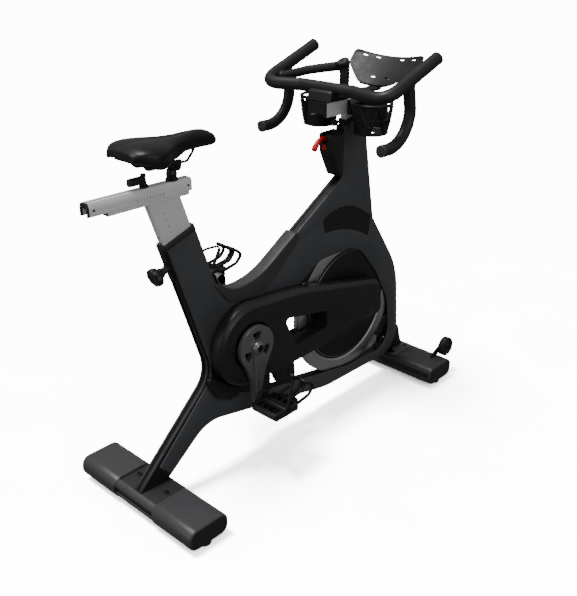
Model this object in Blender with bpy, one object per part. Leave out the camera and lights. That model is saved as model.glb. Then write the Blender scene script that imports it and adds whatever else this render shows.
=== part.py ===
"""Indoor training cycle with a belt-driven flywheel, as separate named pieces.

Units are metres, +X is the way the rider faces, +Y is the rider's left, +Z is up, and z = 0 is the
floor. Lengths along X are written as distances forward of the rear stabiliser's middle, and one
empty, bike_origin, moves the whole machine so that its footprint is centred on the world origin.
"""

import math

import bmesh
import bpy
from mathutils import Matrix, Vector

# ---------------------------------------------------------------- driving dimensions
FOOTPRINT_SHIFT = -0.570  # rear stabiliser's middle, seen from the centre of the footprint
GAP = 0.0003  # air between two pieces that touch

CRANK = (0.353, 0.406)  # crank axis, x and z
CRANK_LENGTH = 0.170
FLYWHEEL = (0.845, 0.358)  # flywheel axis, x and z
FLYWHEEL_RADIUS = 0.243
DRIVE_PULLEY_RADIUS = 0.100
FLYWHEEL_PULLEY_RADIUS = 0.027

CORE_HALF = 0.0145  # half thickness of the frame's middle layer
PANEL_FACE = 0.0180  # outer face of the two side panels
STAY_FACE = PANEL_FACE  # outer face of the two stays that carry the flywheel

SEAT_TUBE_TOP = (0.146, 0.774)
SEAT_ANGLE = math.radians(19.0)  # seat tube's lean back from the vertical
SEAT_TUBE_HALF = 0.054
SEAT_POST_HALF = 0.049
SEAT_POST_THICK = 0.0115

HEAD_TOP = (0.849, 0.966)
HEAD_ANGLE = math.radians(10.0)  # handlebar post's lean back from the vertical
BAR_POST_HALF = 0.033
BAR_POST_THICK = 0.0115

REAR_HALF_LENGTH = 0.248
FRONT_X = 1.147
FRONT_HALF_LENGTH = 0.213
BEAM_TOP = 0.080
BEAM_BOTTOM = 0.014

SEAT_RAIL_TOP = 0.9334
SEAT_RAIL_HALF = 0.016
SADDLE_STEM_X = 0.1415
SADDLE_PIVOT_Z = 0.975

BAR_HALF = 0.235  # half the handlebar's width, between tube centres
BAR_RADIUS = 0.0190
BAR_Z = 1.086
BAR_X = 0.732
BAR_SWEEP = 0.032  # how far the cross tube's ends sweep towards the rider
STEM_X = 0.812
SLIDER_TOP = 1.0520

WHEEL_RADIUS = 0.035
FOOT_RADIUS = 0.021


# ---------------------------------------------------------------- scene and materials
def clear_scene():
    for obj in list(bpy.data.objects):
        bpy.data.objects.remove(obj, do_unlink=True)


def material(name, color, roughness, metallic=0.0):
    made = bpy.data.materials.new(name)
    made.use_nodes = True
    shader = made.node_tree.nodes["Principled BSDF"]
    shader.inputs["Base Color"].default_value = (*color, 1.0)
    shader.inputs["Roughness"].default_value = roughness
    shader.inputs["Metallic"].default_value = metallic
    return made


clear_scene()
CHARCOAL = material("charcoal_metallic", (0.030, 0.032, 0.036), 0.42, 0.6)
BLACK_PAINT = material("black_paint", (0.010, 0.010, 0.011), 0.45)
BLACK_PLASTIC = material("black_plastic", (0.012, 0.012, 0.013), 0.55)
GREY_PLASTIC = material("dark_grey_plastic", (0.055, 0.056, 0.058), 0.5)
GREY_RUBBER = material("grey_rubber", (0.075, 0.075, 0.075), 0.75)
BLACK_RUBBER = material("black_rubber", (0.010, 0.010, 0.010), 0.8)
VINYL = material("black_vinyl", (0.012, 0.012, 0.012), 0.4)
ALUMINIUM = material("satin_aluminium", (0.72, 0.72, 0.73), 0.32, 1.0)
STEEL = material("bright_steel", (0.55, 0.55, 0.56), 0.3, 1.0)
DARK_STEEL = material("dark_steel", (0.03, 0.03, 0.032), 0.4, 0.9)
RED = material("red_plastic", (0.70, 0.015, 0.015), 0.35)

ORIGIN = bpy.data.objects.new("bike_origin", None)
bpy.context.scene.collection.objects.link(ORIGIN)
ORIGIN.location = (FOOTPRINT_SHIFT, 0.0, 0.0)


# ---------------------------------------------------------------- outlines in a plane
def arc(centre, radius, start, end, steps):
    """Points on a circle, from the start angle to the end angle in degrees, both ends included."""
    points = []
    for step in range(steps + 1):
        angle = math.radians(start + (end - start) * step / steps)
        points.append((centre[0] + radius * math.cos(angle), centre[1] + radius * math.sin(angle)))
    return points


def circle(centre, radius, steps):
    return arc(centre, radius, 0.0, 360.0 * (steps - 1) / steps, steps - 1)


def filleted(corners, step_degrees=12.0):
    """A closed outline from corners (u, v, fillet radius); a radius of 0 keeps the corner sharp."""
    points = []
    count = len(corners)
    for index, (u, v, radius) in enumerate(corners):
        here = Vector((u, v))
        back = (Vector(corners[index - 1][:2]) - here).normalized()
        ahead = (Vector(corners[(index + 1) % count][:2]) - here).normalized()
        inside = back.angle(ahead)
        if radius <= 0.0 or inside > math.pi - 1e-3:
            points.append((u, v))
            continue
        reach = radius / math.tan(inside / 2)
        middle = here + (back + ahead).normalized() * (radius / math.sin(inside / 2))
        first = here + back * reach - middle
        turn = math.pi - inside
        if first.cross(here + ahead * reach - middle) < 0:
            turn = -turn
        steps = max(1, round(abs(math.degrees(turn)) / step_degrees))
        for step in range(steps + 1):
            spoke = Matrix.Rotation(turn * step / steps, 2) @ first
            points.append(tuple(middle + spoke))
    return points


def inset(corners, distance):
    """The same corners moved in by a distance, for an outline that runs anticlockwise."""
    moved = []
    count = len(corners)
    for index, (u, v, radius) in enumerate(corners):
        here = Vector((u, v))
        before = (here - Vector(corners[index - 1][:2])).normalized()
        after = (Vector(corners[(index + 1) % count][:2]) - here).normalized()
        left_before = Vector((-before.y, before.x))
        left_after = Vector((-after.y, after.x))
        mitre = (left_before + left_after) / (1.0 + left_before.dot(left_after))
        convex = before.cross(after) > 0
        kept = max(0.0, radius - distance) if convex else radius + distance
        point = here + mitre * distance
        moved.append((point.x, point.y, kept if radius > 0 else 0.0))
    return moved


def stadium(centre, width, height, radius):
    half_w, half_h = width / 2, height / 2
    u, v = centre
    return filleted(
        [
            (u - half_w, v - half_h, radius),
            (u + half_w, v - half_h, radius),
            (u + half_w, v + half_h, radius),
            (u - half_w, v + half_h, radius),
        ]
    )


def along(origin, angle, distance, across=0.0):
    """A point up a leaning axis by a distance and forward of it by another, both in metres."""
    up = Vector((-math.sin(angle), math.cos(angle)))
    forward = Vector((math.cos(angle), math.sin(angle)))
    point = Vector(origin) + up * distance + forward * across
    return (point.x, point.y)


# ---------------------------------------------------------------- solids
def placed(point, height, axis):
    """The 3-D point at (u, v) in the plane across an axis, at a height along that axis."""
    u, v = point
    if axis == "Y":
        return (u, height, v)
    if axis == "X":
        return (height, u, v)
    return (u, v, height)


def stacked(levels, axis="Y", holes=()):
    """A closed mesh through outlines with equal point counts, each level an (outline, height)."""
    mesh = bmesh.new()
    rings = []
    for outline, height in levels:
        rings.append([mesh.verts.new(placed(point, height, axis)) for point in outline])
    for low, high in zip(rings, rings[1:]):
        for index in range(len(low)):
            after = (index + 1) % len(low)
            mesh.faces.new((low[index], low[after], high[after], high[index]))
    hole_rings = []
    for outline in holes:
        ends = []
        for height in (levels[0][1], levels[-1][1]):
            ends.append([mesh.verts.new(placed(point, height, axis)) for point in outline])
        for index in range(len(outline)):
            after = (index + 1) % len(outline)
            mesh.faces.new((ends[0][index], ends[0][after], ends[1][after], ends[1][index]))
        hole_rings.append(ends)
    for end in (0, -1):
        edges = []
        for ring in [rings[end]] + [ends[end] for ends in hole_rings]:
            for index, vert in enumerate(ring):
                edges.append(mesh.edges.get((vert, ring[(index + 1) % len(ring)])))
        bmesh.ops.triangle_fill(mesh, use_beauty=True, use_dissolve=False, edges=edges)
    bmesh.ops.recalc_face_normals(mesh, faces=mesh.faces)
    return mesh


def prism(outline, low, high, axis="Y", holes=()):
    return stacked([(outline, low), (outline, high)], axis, holes)


def turned(profile, steps=32, axis="Y", centre=(0.0, 0.0)):
    """A turned solid. The profile is a closed loop of (radius, height); radius 0 lies on the axis."""
    mesh = bmesh.new()
    rings = []
    for radius, height in profile:
        if radius <= 0.0:
            rings.append([mesh.verts.new(placed(centre, height, axis))])
        else:
            points = circle(centre, radius, steps)
            rings.append([mesh.verts.new(placed(point, height, axis)) for point in points])
    for index, ring in enumerate(rings):
        other = rings[(index + 1) % len(rings)]
        if len(ring) == 1 and len(other) == 1:
            continue
        for step in range(steps):
            after = (step + 1) % steps
            corners = [ring[step % len(ring)], ring[after % len(ring)]]
            corners += [other[after % len(other)], other[step % len(other)]]
            unique = [vert for place, vert in enumerate(corners) if vert not in corners[:place]]
            mesh.faces.new(unique)
    bmesh.ops.recalc_face_normals(mesh, faces=mesh.faces)
    return mesh


def rod(radius, low, high, steps=20, axis="Y", centre=(0.0, 0.0)):
    return turned([(0, low), (radius, low), (radius, high), (0, high)], steps, axis, centre)


def washer(outer, inner, low, high, steps=32, axis="Y", centre=(0.0, 0.0)):
    profile = [(inner, low), (outer, low), (outer, high), (inner, high)]
    return turned(profile, steps, axis, centre)


def block(low, high):
    """A plain box between its lowest and its highest corner."""
    outline = [(low[0], low[1]), (high[0], low[1]), (high[0], high[1]), (low[0], high[1])]
    return prism(outline, low[2], high[2], "Z")


def swept(path, radius, sides=12, closed=False):
    """A round bar along a 3-D path, with flat ends unless the path is closed."""
    points = [Vector(point) for point in path]
    count = len(points)
    mesh = bmesh.new()
    rings = []
    normal = None
    for index, point in enumerate(points):
        before = points[index - 1] if (index or closed) else point
        after = points[(index + 1) % count] if (index + 1 < count or closed) else point
        tangent = (after - before).normalized()
        if normal is None:
            normal = tangent.orthogonal().normalized()
        normal = (normal - tangent * normal.dot(tangent)).normalized()
        side = tangent.cross(normal)
        ring = []
        for step in range(sides):
            angle = 2 * math.pi * step / sides
            spoke = normal * math.cos(angle) + side * math.sin(angle)
            ring.append(mesh.verts.new(point + spoke * radius))
        rings.append(ring)
    last = count if closed else count - 1
    for index in range(last):
        ring, other = rings[index], rings[(index + 1) % count]
        shift = 0
        if closed and index == count - 1:
            shift = min(range(sides), key=lambda s: (ring[0].co - other[s].co).length)
        for step in range(sides):
            after = (step + 1) % sides
            first, second = (step + shift) % sides, (after + shift) % sides
            mesh.faces.new((ring[step], ring[after], other[second], other[first]))
    if not closed:
        mesh.faces.new(rings[0])
        mesh.faces.new(rings[-1])
    bmesh.ops.recalc_face_normals(mesh, faces=mesh.faces)
    return mesh


def rounded_path(points, radius, steps=5):
    """A 3-D polyline with each inner corner replaced by an arc-like curve of about that radius."""
    rounded = [Vector(points[0])]
    for before, here, after in zip(points, points[1:], points[2:]):
        here = Vector(here)
        back, ahead = Vector(before) - here, Vector(after) - here
        inside = back.angle(ahead)
        reach = min(radius / math.tan(inside / 2), back.length * 0.49, ahead.length * 0.49)
        start, end = here + back.normalized() * reach, here + ahead.normalized() * reach
        for step in range(steps + 1):
            t = step / steps
            rounded.append(start * (1 - t) ** 2 + here * 2 * t * (1 - t) + end * t**2)
    rounded.append(Vector(points[-1]))
    return rounded


def node(name, mesh, finish, pivot=(0.0, 0.0, 0.0), helper=False):
    """An object whose origin is at its pivot, from a mesh drawn in the machine's own coordinates."""
    bmesh.ops.translate(mesh, verts=mesh.verts, vec=-Vector(pivot))
    data = bpy.data.meshes.new(name)
    mesh.to_mesh(data)
    mesh.free()
    data.shade_smooth()
    data.set_sharp_from_angle(angle=math.radians(35))
    data.materials.append(finish)
    made = bpy.data.objects.new(name, data)
    bpy.context.scene.collection.objects.link(made)
    made.parent = ORIGIN
    made.location = pivot
    if helper:
        made.hide_render = True
        made.display_type = "WIRE"
    return made


def combine(target, operation, *meshes):
    """Adds one exact Boolean modifier for each mesh, which becomes a hidden helper."""
    for mesh in meshes:
        place = f"{target.name}_{operation.lower()}_{len(target.modifiers) + 1}"
        other = node(place, mesh, BLACK_PAINT, helper=True)
        modifier = target.modifiers.new(place, "BOOLEAN")
        modifier.operation = operation
        modifier.object = other
        modifier.solver = "EXACT"
    return target


def tilted(mesh, origin, angle):
    """Leans a mesh drawn upright about the machine's origin, and moves it to (x, z)."""
    turn = Matrix.Rotation(-angle, 4, "Y")
    shift = Matrix.Translation((origin[0], 0.0, origin[1]))
    bmesh.ops.transform(mesh, matrix=shift @ turn, verts=mesh.verts)
    return mesh


# ---------------------------------------------------------------- frame
def frame_outline(rear_margin, leg_end):
    """Corners of the frame's side view. The margin moves its rear edge forward."""
    seat_rear = along(SEAT_TUBE_TOP, SEAT_ANGLE, 0.0, -SEAT_TUBE_HALF + rear_margin)
    seat_front = along(SEAT_TUBE_TOP, SEAT_ANGLE, 0.0, SEAT_TUBE_HALF)
    corners = [
        (seat_rear[0], seat_rear[1], 0.003),
        (0.232 + rear_margin, 0.342, 0.090),
    ]
    corners += leg_end
    corners += [
        (0.204, 0.197, 0.120),
        (0.740, 0.084, 0.300),
        (1.146, 0.080, 0.090),
        (1.112, 0.420, 0.300),
        (0.960, 0.638, 0.020),
        (0.8985, 0.9655, 0.003),
        (0.7990, 0.9675, 0.003),
        (0.7950, 0.8090, 0.010),
        (0.4155, 0.5750, 0.240),
        (0.2734, 0.5750, 0.100),
        (seat_front[0], seat_front[1], 0.003),
    ]
    return corners


PANEL_OPENING = [
    (0.228, 0.532, 0.118),
    (0.228, 0.275, 0.110),
    (0.450, 0.196, 0.060),
    (0.860, 0.118, 0.300),
    (1.088, 0.112, 0.070),
    (1.068, 0.300, 0.150),
    (0.995, 0.428, 0.120),
    (0.885, 0.560, 0.140),
    (0.700, 0.562, 0.100),
    (0.600, 0.508, 0.060),
]
TOWER_SCOOP = [
    (0.7065, 0.6900, 0.006),
    (0.7160, 0.6440, 0.006),
    (0.8390, 0.6420, 0.360),
    (0.9400, 0.5760, 0.006),
    (0.9460, 0.6480, 0.006),
    (0.8060, 0.7370, 0.180),
]
CORE_REACH = FLYWHEEL_RADIUS + 0.007
LEG_END = [(-0.047, 0.0765, 0.0), (0.056, 0.0765, 0.0)]


def frame_core():
    outline = filleted(frame_outline(0.0, LEG_END))
    opening = [(0.470, 0.500, 0.020), (0.470, 0.180, 0.030), (0.760, 0.106, 0.200)]
    opening += [(1.092, 0.104, 0.012), (1.0935, 0.300, 0.0)]
    opening += [(x, z, 0.0) for x, z in arc(FLYWHEEL, CORE_REACH, 5.0, 144.0, 24)]
    bracket_bore = circle(CRANK, 0.0263, 28)
    core = prism(outline, -CORE_HALF, CORE_HALF, holes=[filleted(opening), bracket_bore])
    made = node("frame_core", core, BLACK_PAINT)
    front_lug = [(1.090, 0.150), (1.084, BEAM_TOP + GAP), (1.178, BEAM_TOP + GAP), (1.150, 0.170)]
    combine(made, "UNION", prism(front_lug, -CORE_HALF + 0.0005, CORE_HALF - 0.0005))
    seat_well = block((-0.0500, -0.0122, -0.235), (0.0500, 0.0122, 0.050))
    head_well = block((-0.0340, -0.0122, -0.215), (0.0340, 0.0122, 0.050))
    combine(made, "DIFFERENCE", tilted(seat_well, SEAT_TUBE_TOP, SEAT_ANGLE))
    combine(made, "DIFFERENCE", tilted(head_well, HEAD_TOP, HEAD_ANGLE))


def frame_panels():
    leg_end = [(0.022, 0.128, 0.0), (0.062, 0.086, 0.0)]
    outline = filleted(frame_outline(0.006, leg_end))
    for side, name in ((-1, "frame_panel_right"), (1, "frame_panel_left")):
        faces = sorted((side * (CORE_HALF + GAP), side * PANEL_FACE))
        panel = prism(outline, *faces, holes=[filleted(PANEL_OPENING), filleted(TOWER_SCOOP)])
        node(name, panel, CHARCOAL)


def swoop_pad():
    """Rubber channel over the low bend between the seat tube and the tower."""
    shape = [
        (0.2540, 0.6100, 0.0060),
        (0.3020, 0.5450, 0.0450),
        (0.4400, 0.5200, 0.1900),
        (0.5990, 0.6600, 0.0120),
        (0.5860, 0.6888, 0.0120),
        (0.4134, 0.5825, 0.2325),
        (0.2785, 0.5825, 0.0925),
        (0.2640, 0.6250, 0.0080),
    ]
    bevelled = inset(shape, 0.003)
    levels = [(bevelled, -0.0225), (shape, -0.0195), (shape, 0.0195), (bevelled, 0.0225)]
    levels = [(filleted(corners), y) for corners, y in levels]
    pad = node("swoop_pad", stacked(levels), GREY_RUBBER)
    rider_side = inset(frame_outline(0.0, LEG_END), -GAP)
    combine(pad, "DIFFERENCE", prism(filleted(rider_side), -PANEL_FACE - GAP, PANEL_FACE + GAP))


def collar(name, width, depth, wall, low, high, origin, angle):
    """A plastic mouth round a tube's top, in the frame of the post that slides through it."""
    radius = depth / 3
    bore = stadium((0, 0), width - wall, depth - 0.0156, 0.0)
    ring = prism(stadium((0, 0), width, depth, radius), low, high, "Z", [bore])
    node(name, tilted(ring, origin, angle), BLACK_PLASTIC)


def collars():
    collar("seat_tube_collar", 0.118, 0.040, 0.0188, GAP * 2, 0.016, SEAT_TUBE_TOP, SEAT_ANGLE)
    collar("tower_collar", 0.084, 0.040, 0.0168, 0.0095, 0.024, HEAD_TOP, HEAD_ANGLE)


# ---------------------------------------------------------------- stabilisers, feet and wheels
FEET = {
    "levelling_foot_rear_right": (0.0, -0.222),
    "levelling_foot_rear_left": (0.0, 0.222),
    "levelling_foot_front_right": (FRONT_X, -0.186),
    "levelling_foot_front_left": (FRONT_X, 0.186),
}
FOOT_PAD_TOP = 0.0125


def foot_bores(x, half):
    return [rod(0.0056, 0.0, 0.046, 16, "Z", (x, side * half)) for side in (-1, 1)]


def stabilisers():
    middle = (BEAM_TOP + BEAM_BOTTOM) / 2
    tall = BEAM_TOP - BEAM_BOTTOM
    inner = stadium((0.0, middle), 0.128, tall - 0.008, 0.024)
    rear = node("rear_stabiliser", prism(inner, -0.244, 0.244), BLACK_PAINT)
    combine(rear, "DIFFERENCE", *foot_bores(0.0, 0.222))
    sleeve = stadium((0.0, middle), 0.136, tall, 0.028)
    void = stadium((0.0, middle), 0.1286, tall - 0.0074, 0.0243)
    for side, name in ((-1, "rear_cover_right"), (1, "rear_cover_left")):
        ends = sorted((side * 0.085, side * REAR_HALF_LENGTH))
        cover = node(name, prism(sleeve, *ends), GREY_PLASTIC)
        cavity = sorted((side * 0.080, side * 0.2443))
        combine(cover, "DIFFERENCE", prism(void, *cavity))
        combine(cover, "DIFFERENCE", rod(0.0080, 0.0, 0.025, 16, "Z", (0.0, side * 0.222)))
    beam = stadium((FRONT_X, middle), 0.136, tall, 0.028)
    front = prism(beam, -FRONT_HALF_LENGTH, FRONT_HALF_LENGTH)
    front = node("front_stabiliser", front, GREY_PLASTIC)
    combine(front, "DIFFERENCE", *foot_bores(FRONT_X, 0.186))
    plate = stadium((1.1375, 0.0), 0.111, 0.110, 0.010)
    slot = [(1.080, -0.0160), (1.182, -0.0160), (1.182, 0.0160), (1.080, 0.0160)]
    mount = prism(plate, BEAM_TOP + GAP, BEAM_TOP + 0.004, "Z")
    slotted = node("front_mount_plate", mount, GREY_PLASTIC)
    combine(slotted, "DIFFERENCE", prism(slot, 0.070, 0.090, "Z"))


def levelling_feet():
    for name, centre in FEET.items():
        profile = [(0, 0), (FOOT_RADIUS - 0.002, 0), (FOOT_RADIUS, 0.002), (FOOT_RADIUS, 0.009)]
        profile += [(0.012, FOOT_PAD_TOP), (0.0052, FOOT_PAD_TOP), (0.0052, 0.040), (0, 0.040)]
        node(name, turned(profile, 24, "Z", centre), BLACK_RUBBER, (*centre, 0.0))


WHEEL_X, WHEEL_Y, WHEEL_Z = 1.226, 0.176, 0.110
WHEEL_HALF = 0.012


def transport_wheels():
    arm = [
        (1.160, BEAM_TOP + GAP, 0.0),
        (1.196, BEAM_TOP + GAP, 0.004),
        (1.238, 0.101, 0.010),
        (1.226, 0.122, 0.010),
        (1.160, 0.092, 0.004),
    ]
    for side, hand in ((-1, "right"), (1, "left")):
        tyre = [
            (0.0048, -WHEEL_HALF),
            (0.026, -WHEEL_HALF),
            (WHEEL_RADIUS - 0.002, -WHEEL_HALF + 0.002),
            (WHEEL_RADIUS, -WHEEL_HALF + 0.006),
            (WHEEL_RADIUS, WHEEL_HALF - 0.006),
            (WHEEL_RADIUS - 0.002, WHEEL_HALF - 0.002),
            (0.026, WHEEL_HALF),
            (0.0048, WHEEL_HALF),
        ]
        profile = [(radius, height + side * WHEEL_Y) for radius, height in tyre]
        wheel = turned(profile, 28, "Y", (WHEEL_X, WHEEL_Z))
        node(f"transport_wheel_{hand}", wheel, BLACK_RUBBER, (WHEEL_X, side * WHEEL_Y, WHEEL_Z))
        inner = side * (WHEEL_Y - WHEEL_HALF - 0.0008)
        outer = side * (WHEEL_Y - WHEEL_HALF - 0.0058)
        plate = prism(filleted(arm), *sorted((inner, outer)))
        bracket = node(f"wheel_bracket_{hand}", plate, BLACK_PAINT)
        axle_end = side * (WHEEL_Y + WHEEL_HALF + 0.003)
        axle = rod(0.0045, *sorted((outer + side * 0.001, axle_end)), 16, "Y", (WHEEL_X, WHEEL_Z))
        combine(bracket, "UNION", axle)


# ---------------------------------------------------------------- drive
GUARD_BACK = -(PANEL_FACE + GAP + 0.0002)
GUARD_EDGE = -0.050
GUARD_FACE = -0.063
GUARD_WALL = 0.0026
GUARD_CORNERS = [
    (0.225, 0.278, 0.128),
    (0.560, 0.272, 0.300),
    (0.985, 0.296, 0.035),
    (0.972, 0.425, 0.060),
    (0.560, 0.518, 0.400),
    (0.225, 0.546, 0.128),
]
WINDOW_CORNERS = [
    (0.541, 0.338, 0.012),
    (0.684, 0.347, 0.010),
    (0.680, 0.404, 0.012),
    (0.486, 0.444, 0.012),
]
CRANK_RECESS = 0.0715


def belt_guard():
    outer = filleted(GUARD_CORNERS, 9.0)
    face = filleted(inset(GUARD_CORNERS, 0.012), 9.0)
    rim = filleted(inset(GUARD_CORNERS, 0.003), 9.0)
    levels = [(face, GUARD_FACE), (rim, GUARD_EDGE - 0.004)]
    levels += [(outer, GUARD_EDGE + 0.003), (outer, GUARD_BACK)]
    holes = [filleted(WINDOW_CORNERS), circle(CRANK, CRANK_RECESS, 32)]
    guard = node("belt_guard", stacked(levels, "Y", holes), BLACK_PLASTIC)
    wall_corners = inset(WINDOW_CORNERS, -GUARD_WALL)
    inner = filleted(inset(GUARD_CORNERS, 0.014), 9.0)
    side = filleted(inset(GUARD_CORNERS, GUARD_WALL), 9.0)
    hollow = [(inner, GUARD_FACE + GUARD_WALL), (side, GUARD_EDGE), (side, GUARD_BACK + 0.010)]
    combine(guard, "DIFFERENCE", stacked(hollow, "Y", [filleted(wall_corners)]))


STAY_CORNERS = [
    (0.236, 0.290, 0.115),
    (0.560, 0.262, 0.200),
    (0.860, 0.310, 0.046),
    (0.905, 0.330, 0.040),
    (0.900, 0.402, 0.040),
    (0.560, 0.494, 0.300),
    (0.236, 0.524, 0.115),
]


def stays():
    """Two plates from the bottom bracket to the flywheel's axle, one each side of the flywheel."""
    bore = circle(CRANK, 0.0263, 28)
    axle_hole = circle(FLYWHEEL, 0.0092, 20)
    window = filleted(inset(WINDOW_CORNERS, -0.0005))
    right = prism(
        filleted(STAY_CORNERS), -STAY_FACE, -(CORE_HALF + GAP), holes=[bore, axle_hole, window]
    )
    node("drive_side_stay", right, BLACK_PAINT)
    left = prism(filleted(STAY_CORNERS), CORE_HALF + GAP, STAY_FACE, holes=[bore, axle_hole, window])
    node("left_axle_stay", left, BLACK_PAINT)
    shield = [
        (0.204, 0.352, 0.010),
        (0.206, 0.314, 0.014),
        (0.240, 0.262, 0.014),
        (0.284, 0.240, 0.010),
        (0.314, 0.240, 0.010),
        (0.330, 0.264, 0.016),
        (0.460, 0.262, 0.020),
        (0.484, 0.214, 0.010),
        (0.566, 0.204, 0.012),
        (0.560, 0.2705, 0.002),
        (0.300, 0.2760, 0.100),
    ]
    node("guard_lower_bracket", prism(filleted(shield), -0.034, GUARD_BACK), BLACK_PLASTIC)


def bottom_bracket():
    shell = washer(0.026, 0.0118, -0.030, 0.030, 28, "Y", CRANK)
    node("bottom_bracket_shell", shell, DARK_STEEL)
    axle = rod(0.0115, -0.0657, 0.0657, 24, "Y", CRANK)
    node("crank_axle", axle, STEEL, (CRANK[0], 0.0, CRANK[1]))


def drive_train():
    pivot = (CRANK[0], 0.0, CRANK[1])
    pulley = [
        (0.0118, -0.0320),
        (0.0220, -0.0320),
        (0.0220, -0.0380),
        (DRIVE_PULLEY_RADIUS, -0.0380),
        (DRIVE_PULLEY_RADIUS, -0.0480),
        (0.0118, -0.0480),
    ]
    node("drive_pulley", turned(pulley, 40, "Y", CRANK), DARK_STEEL, pivot)
    node("drive_belt", belt_mesh(), BLACK_RUBBER)


def belt_mesh():
    """A flat belt round both pulleys: two straight runs and the arcs that they are tangent to."""
    inner, outer = [], []
    big, small = Vector(CRANK), Vector(FLYWHEEL)
    reach = small - big
    heading = math.degrees(math.atan2(reach.y, reach.x))
    spread = math.degrees(math.acos((DRIVE_PULLEY_RADIUS - FLYWHEEL_PULLEY_RADIUS) / reach.length))
    for outline, extra in ((inner, GAP), (outer, 0.0030)):
        outline += arc(CRANK, DRIVE_PULLEY_RADIUS + extra, heading + spread, heading + 360 - spread, 30)
        outline += arc(FLYWHEEL, FLYWHEEL_PULLEY_RADIUS + extra, heading - spread, heading + spread, 12)
    return prism(outer, -0.0475, -0.0385, holes=[inner])


def triangle_holes(low, high):
    """Three rounded triangular windows around the crank's hub."""
    holes = []
    for turn in (90.0, 205.0, 335.0):
        inner = arc(CRANK, 0.026, turn - 16, turn + 16, 3)
        outer = arc(CRANK, 0.049, turn + 22, turn - 22, 4)
        holes.append(prism(inner + outer, low, high))
    return holes


def crank_arm(side, name):
    """The arm on one side: right hangs down (side -1), left stands up (side 1)."""
    foot = (CRANK[0], CRANK[1] + side * CRANK_LENGTH)
    inner, outer = side * 0.0660, side * 0.0840
    spindle_end = side * 0.200
    root, tip = (0.040, 0.0145) if side < 0 else (0.019, 0.0145)
    start = CRANK[1] + side * 0.020
    arm = [(foot[0] - tip, foot[1]), (foot[0] + tip, foot[1])]
    arm += [(CRANK[0] + root, start), (CRANK[0] - root, start)]
    pivot = (CRANK[0], 0.0, CRANK[1])
    disc_radius = 0.067 if side < 0 else 0.0225
    faces = sorted((inner, outer))
    made = node(name, rod(disc_radius, *faces, 36, "Y", CRANK), DARK_STEEL, pivot)
    level = sorted((inner + side * 0.001, outer + side * 0.002))
    hub = rod(0.020, *sorted((inner + side * 0.002, side * 0.094)), 24, "Y", CRANK)
    boss = rod(0.0172, *sorted((inner + side * 0.002, side * 0.088)), 24, "Y", foot)
    spindle = rod(0.0075, *sorted((side * 0.080, spindle_end)), 16, "Y", foot)
    combine(made, "UNION", prism(arm, *level), hub, boss, spindle)
    if side < 0:
        combine(made, "DIFFERENCE", *triangle_holes(*sorted((side * 0.060, side * 0.090))))


PEDAL_INNER, PEDAL_OUTER = 0.1000, 0.1990


def pedals():
    for side, hand in ((-1, "right"), (1, "left")):
        centre = (CRANK[0], CRANK[1] + side * CRANK_LENGTH)
        x, z = centre
        pivot = (x, side * 0.150, z)
        ends = sorted((side * PEDAL_INNER, side * PEDAL_OUTER))
        body_outline = stadium(centre, 0.096, 0.024, 0.006)
        body = node(f"{hand}_pedal", prism(body_outline, *ends), BLACK_PLASTIC, pivot)
        for shift in (-0.0285, 0.0285):
            low = (x + shift - 0.0125, ends[0] + 0.010, z - 0.02)
            high = (x + shift + 0.0125, ends[1] - 0.010, z + 0.02)
            combine(body, "DIFFERENCE", block(low, high))
        combine(body, "DIFFERENCE", rod(0.0080, ends[0] - 0.01, ends[1] + 0.01, 16, "Y", centre))
        near, far = side * (PEDAL_INNER + 0.012), side * (PEDAL_OUTER - 0.012)
        hoop = [
            (x + 0.0530, near, z + 0.002),
            (x + 0.110, near, z + 0.008),
            (x + 0.128, near, z + 0.034),
            (x + 0.085, near, z + 0.060),
            (x + 0.085, far, z + 0.060),
            (x + 0.128, far, z + 0.034),
            (x + 0.110, far, z + 0.008),
            (x + 0.0530, far, z + 0.002),
        ]
        ring = rounded_path(hoop + hoop[:1], 0.016, 4)[:-1]
        node(f"{hand}_toe_cage", swept(ring, 0.0042, 8, closed=True), DARK_STEEL, pivot)


def flywheel_group():
    pivot = (FLYWHEEL[0], 0.0, FLYWHEEL[1])
    disc = [
        (0.0088, -0.0105),
        (0.1900, -0.0085),
        (0.2000, -0.0105),
        (FLYWHEEL_RADIUS - 0.0015, -0.0105),
        (FLYWHEEL_RADIUS, -0.0090),
        (FLYWHEEL_RADIUS, 0.0090),
        (FLYWHEEL_RADIUS - 0.0015, 0.0105),
        (0.2000, 0.0105),
        (0.1900, 0.0085),
        (0.0088, 0.0105),
    ]
    node("flywheel", turned(disc, 64, "Y", FLYWHEEL), ALUMINIUM, pivot)
    cover = [(0.0088, -0.0132), (0.1860, -0.0132), (0.1880, -0.0120)]
    cover += [(0.1880, -0.0109), (0.0088, -0.0109)]
    node("flywheel_cover", turned(cover, 48, "Y", FLYWHEEL), BLACK_PLASTIC, pivot)
    shaft = [
        (0, -0.0490),
        (FLYWHEEL_PULLEY_RADIUS, -0.0490),
        (FLYWHEEL_PULLEY_RADIUS, -0.0375),
        (0.0085, -0.0375),
        (0.0085, 0.0260),
        (0, 0.0260),
    ]
    node("flywheel_shaft", turned(shaft, 28, "Y", FLYWHEEL), STEEL, pivot)


BRAKE_PIVOT = (1.064, 0.150)
SHOE_INNER = FLYWHEEL_RADIUS + 0.0045
SHOE_OUTER = FLYWHEEL_RADIUS + 0.0230
SHOE_START, SHOE_END = -46.0, -27.0


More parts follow.
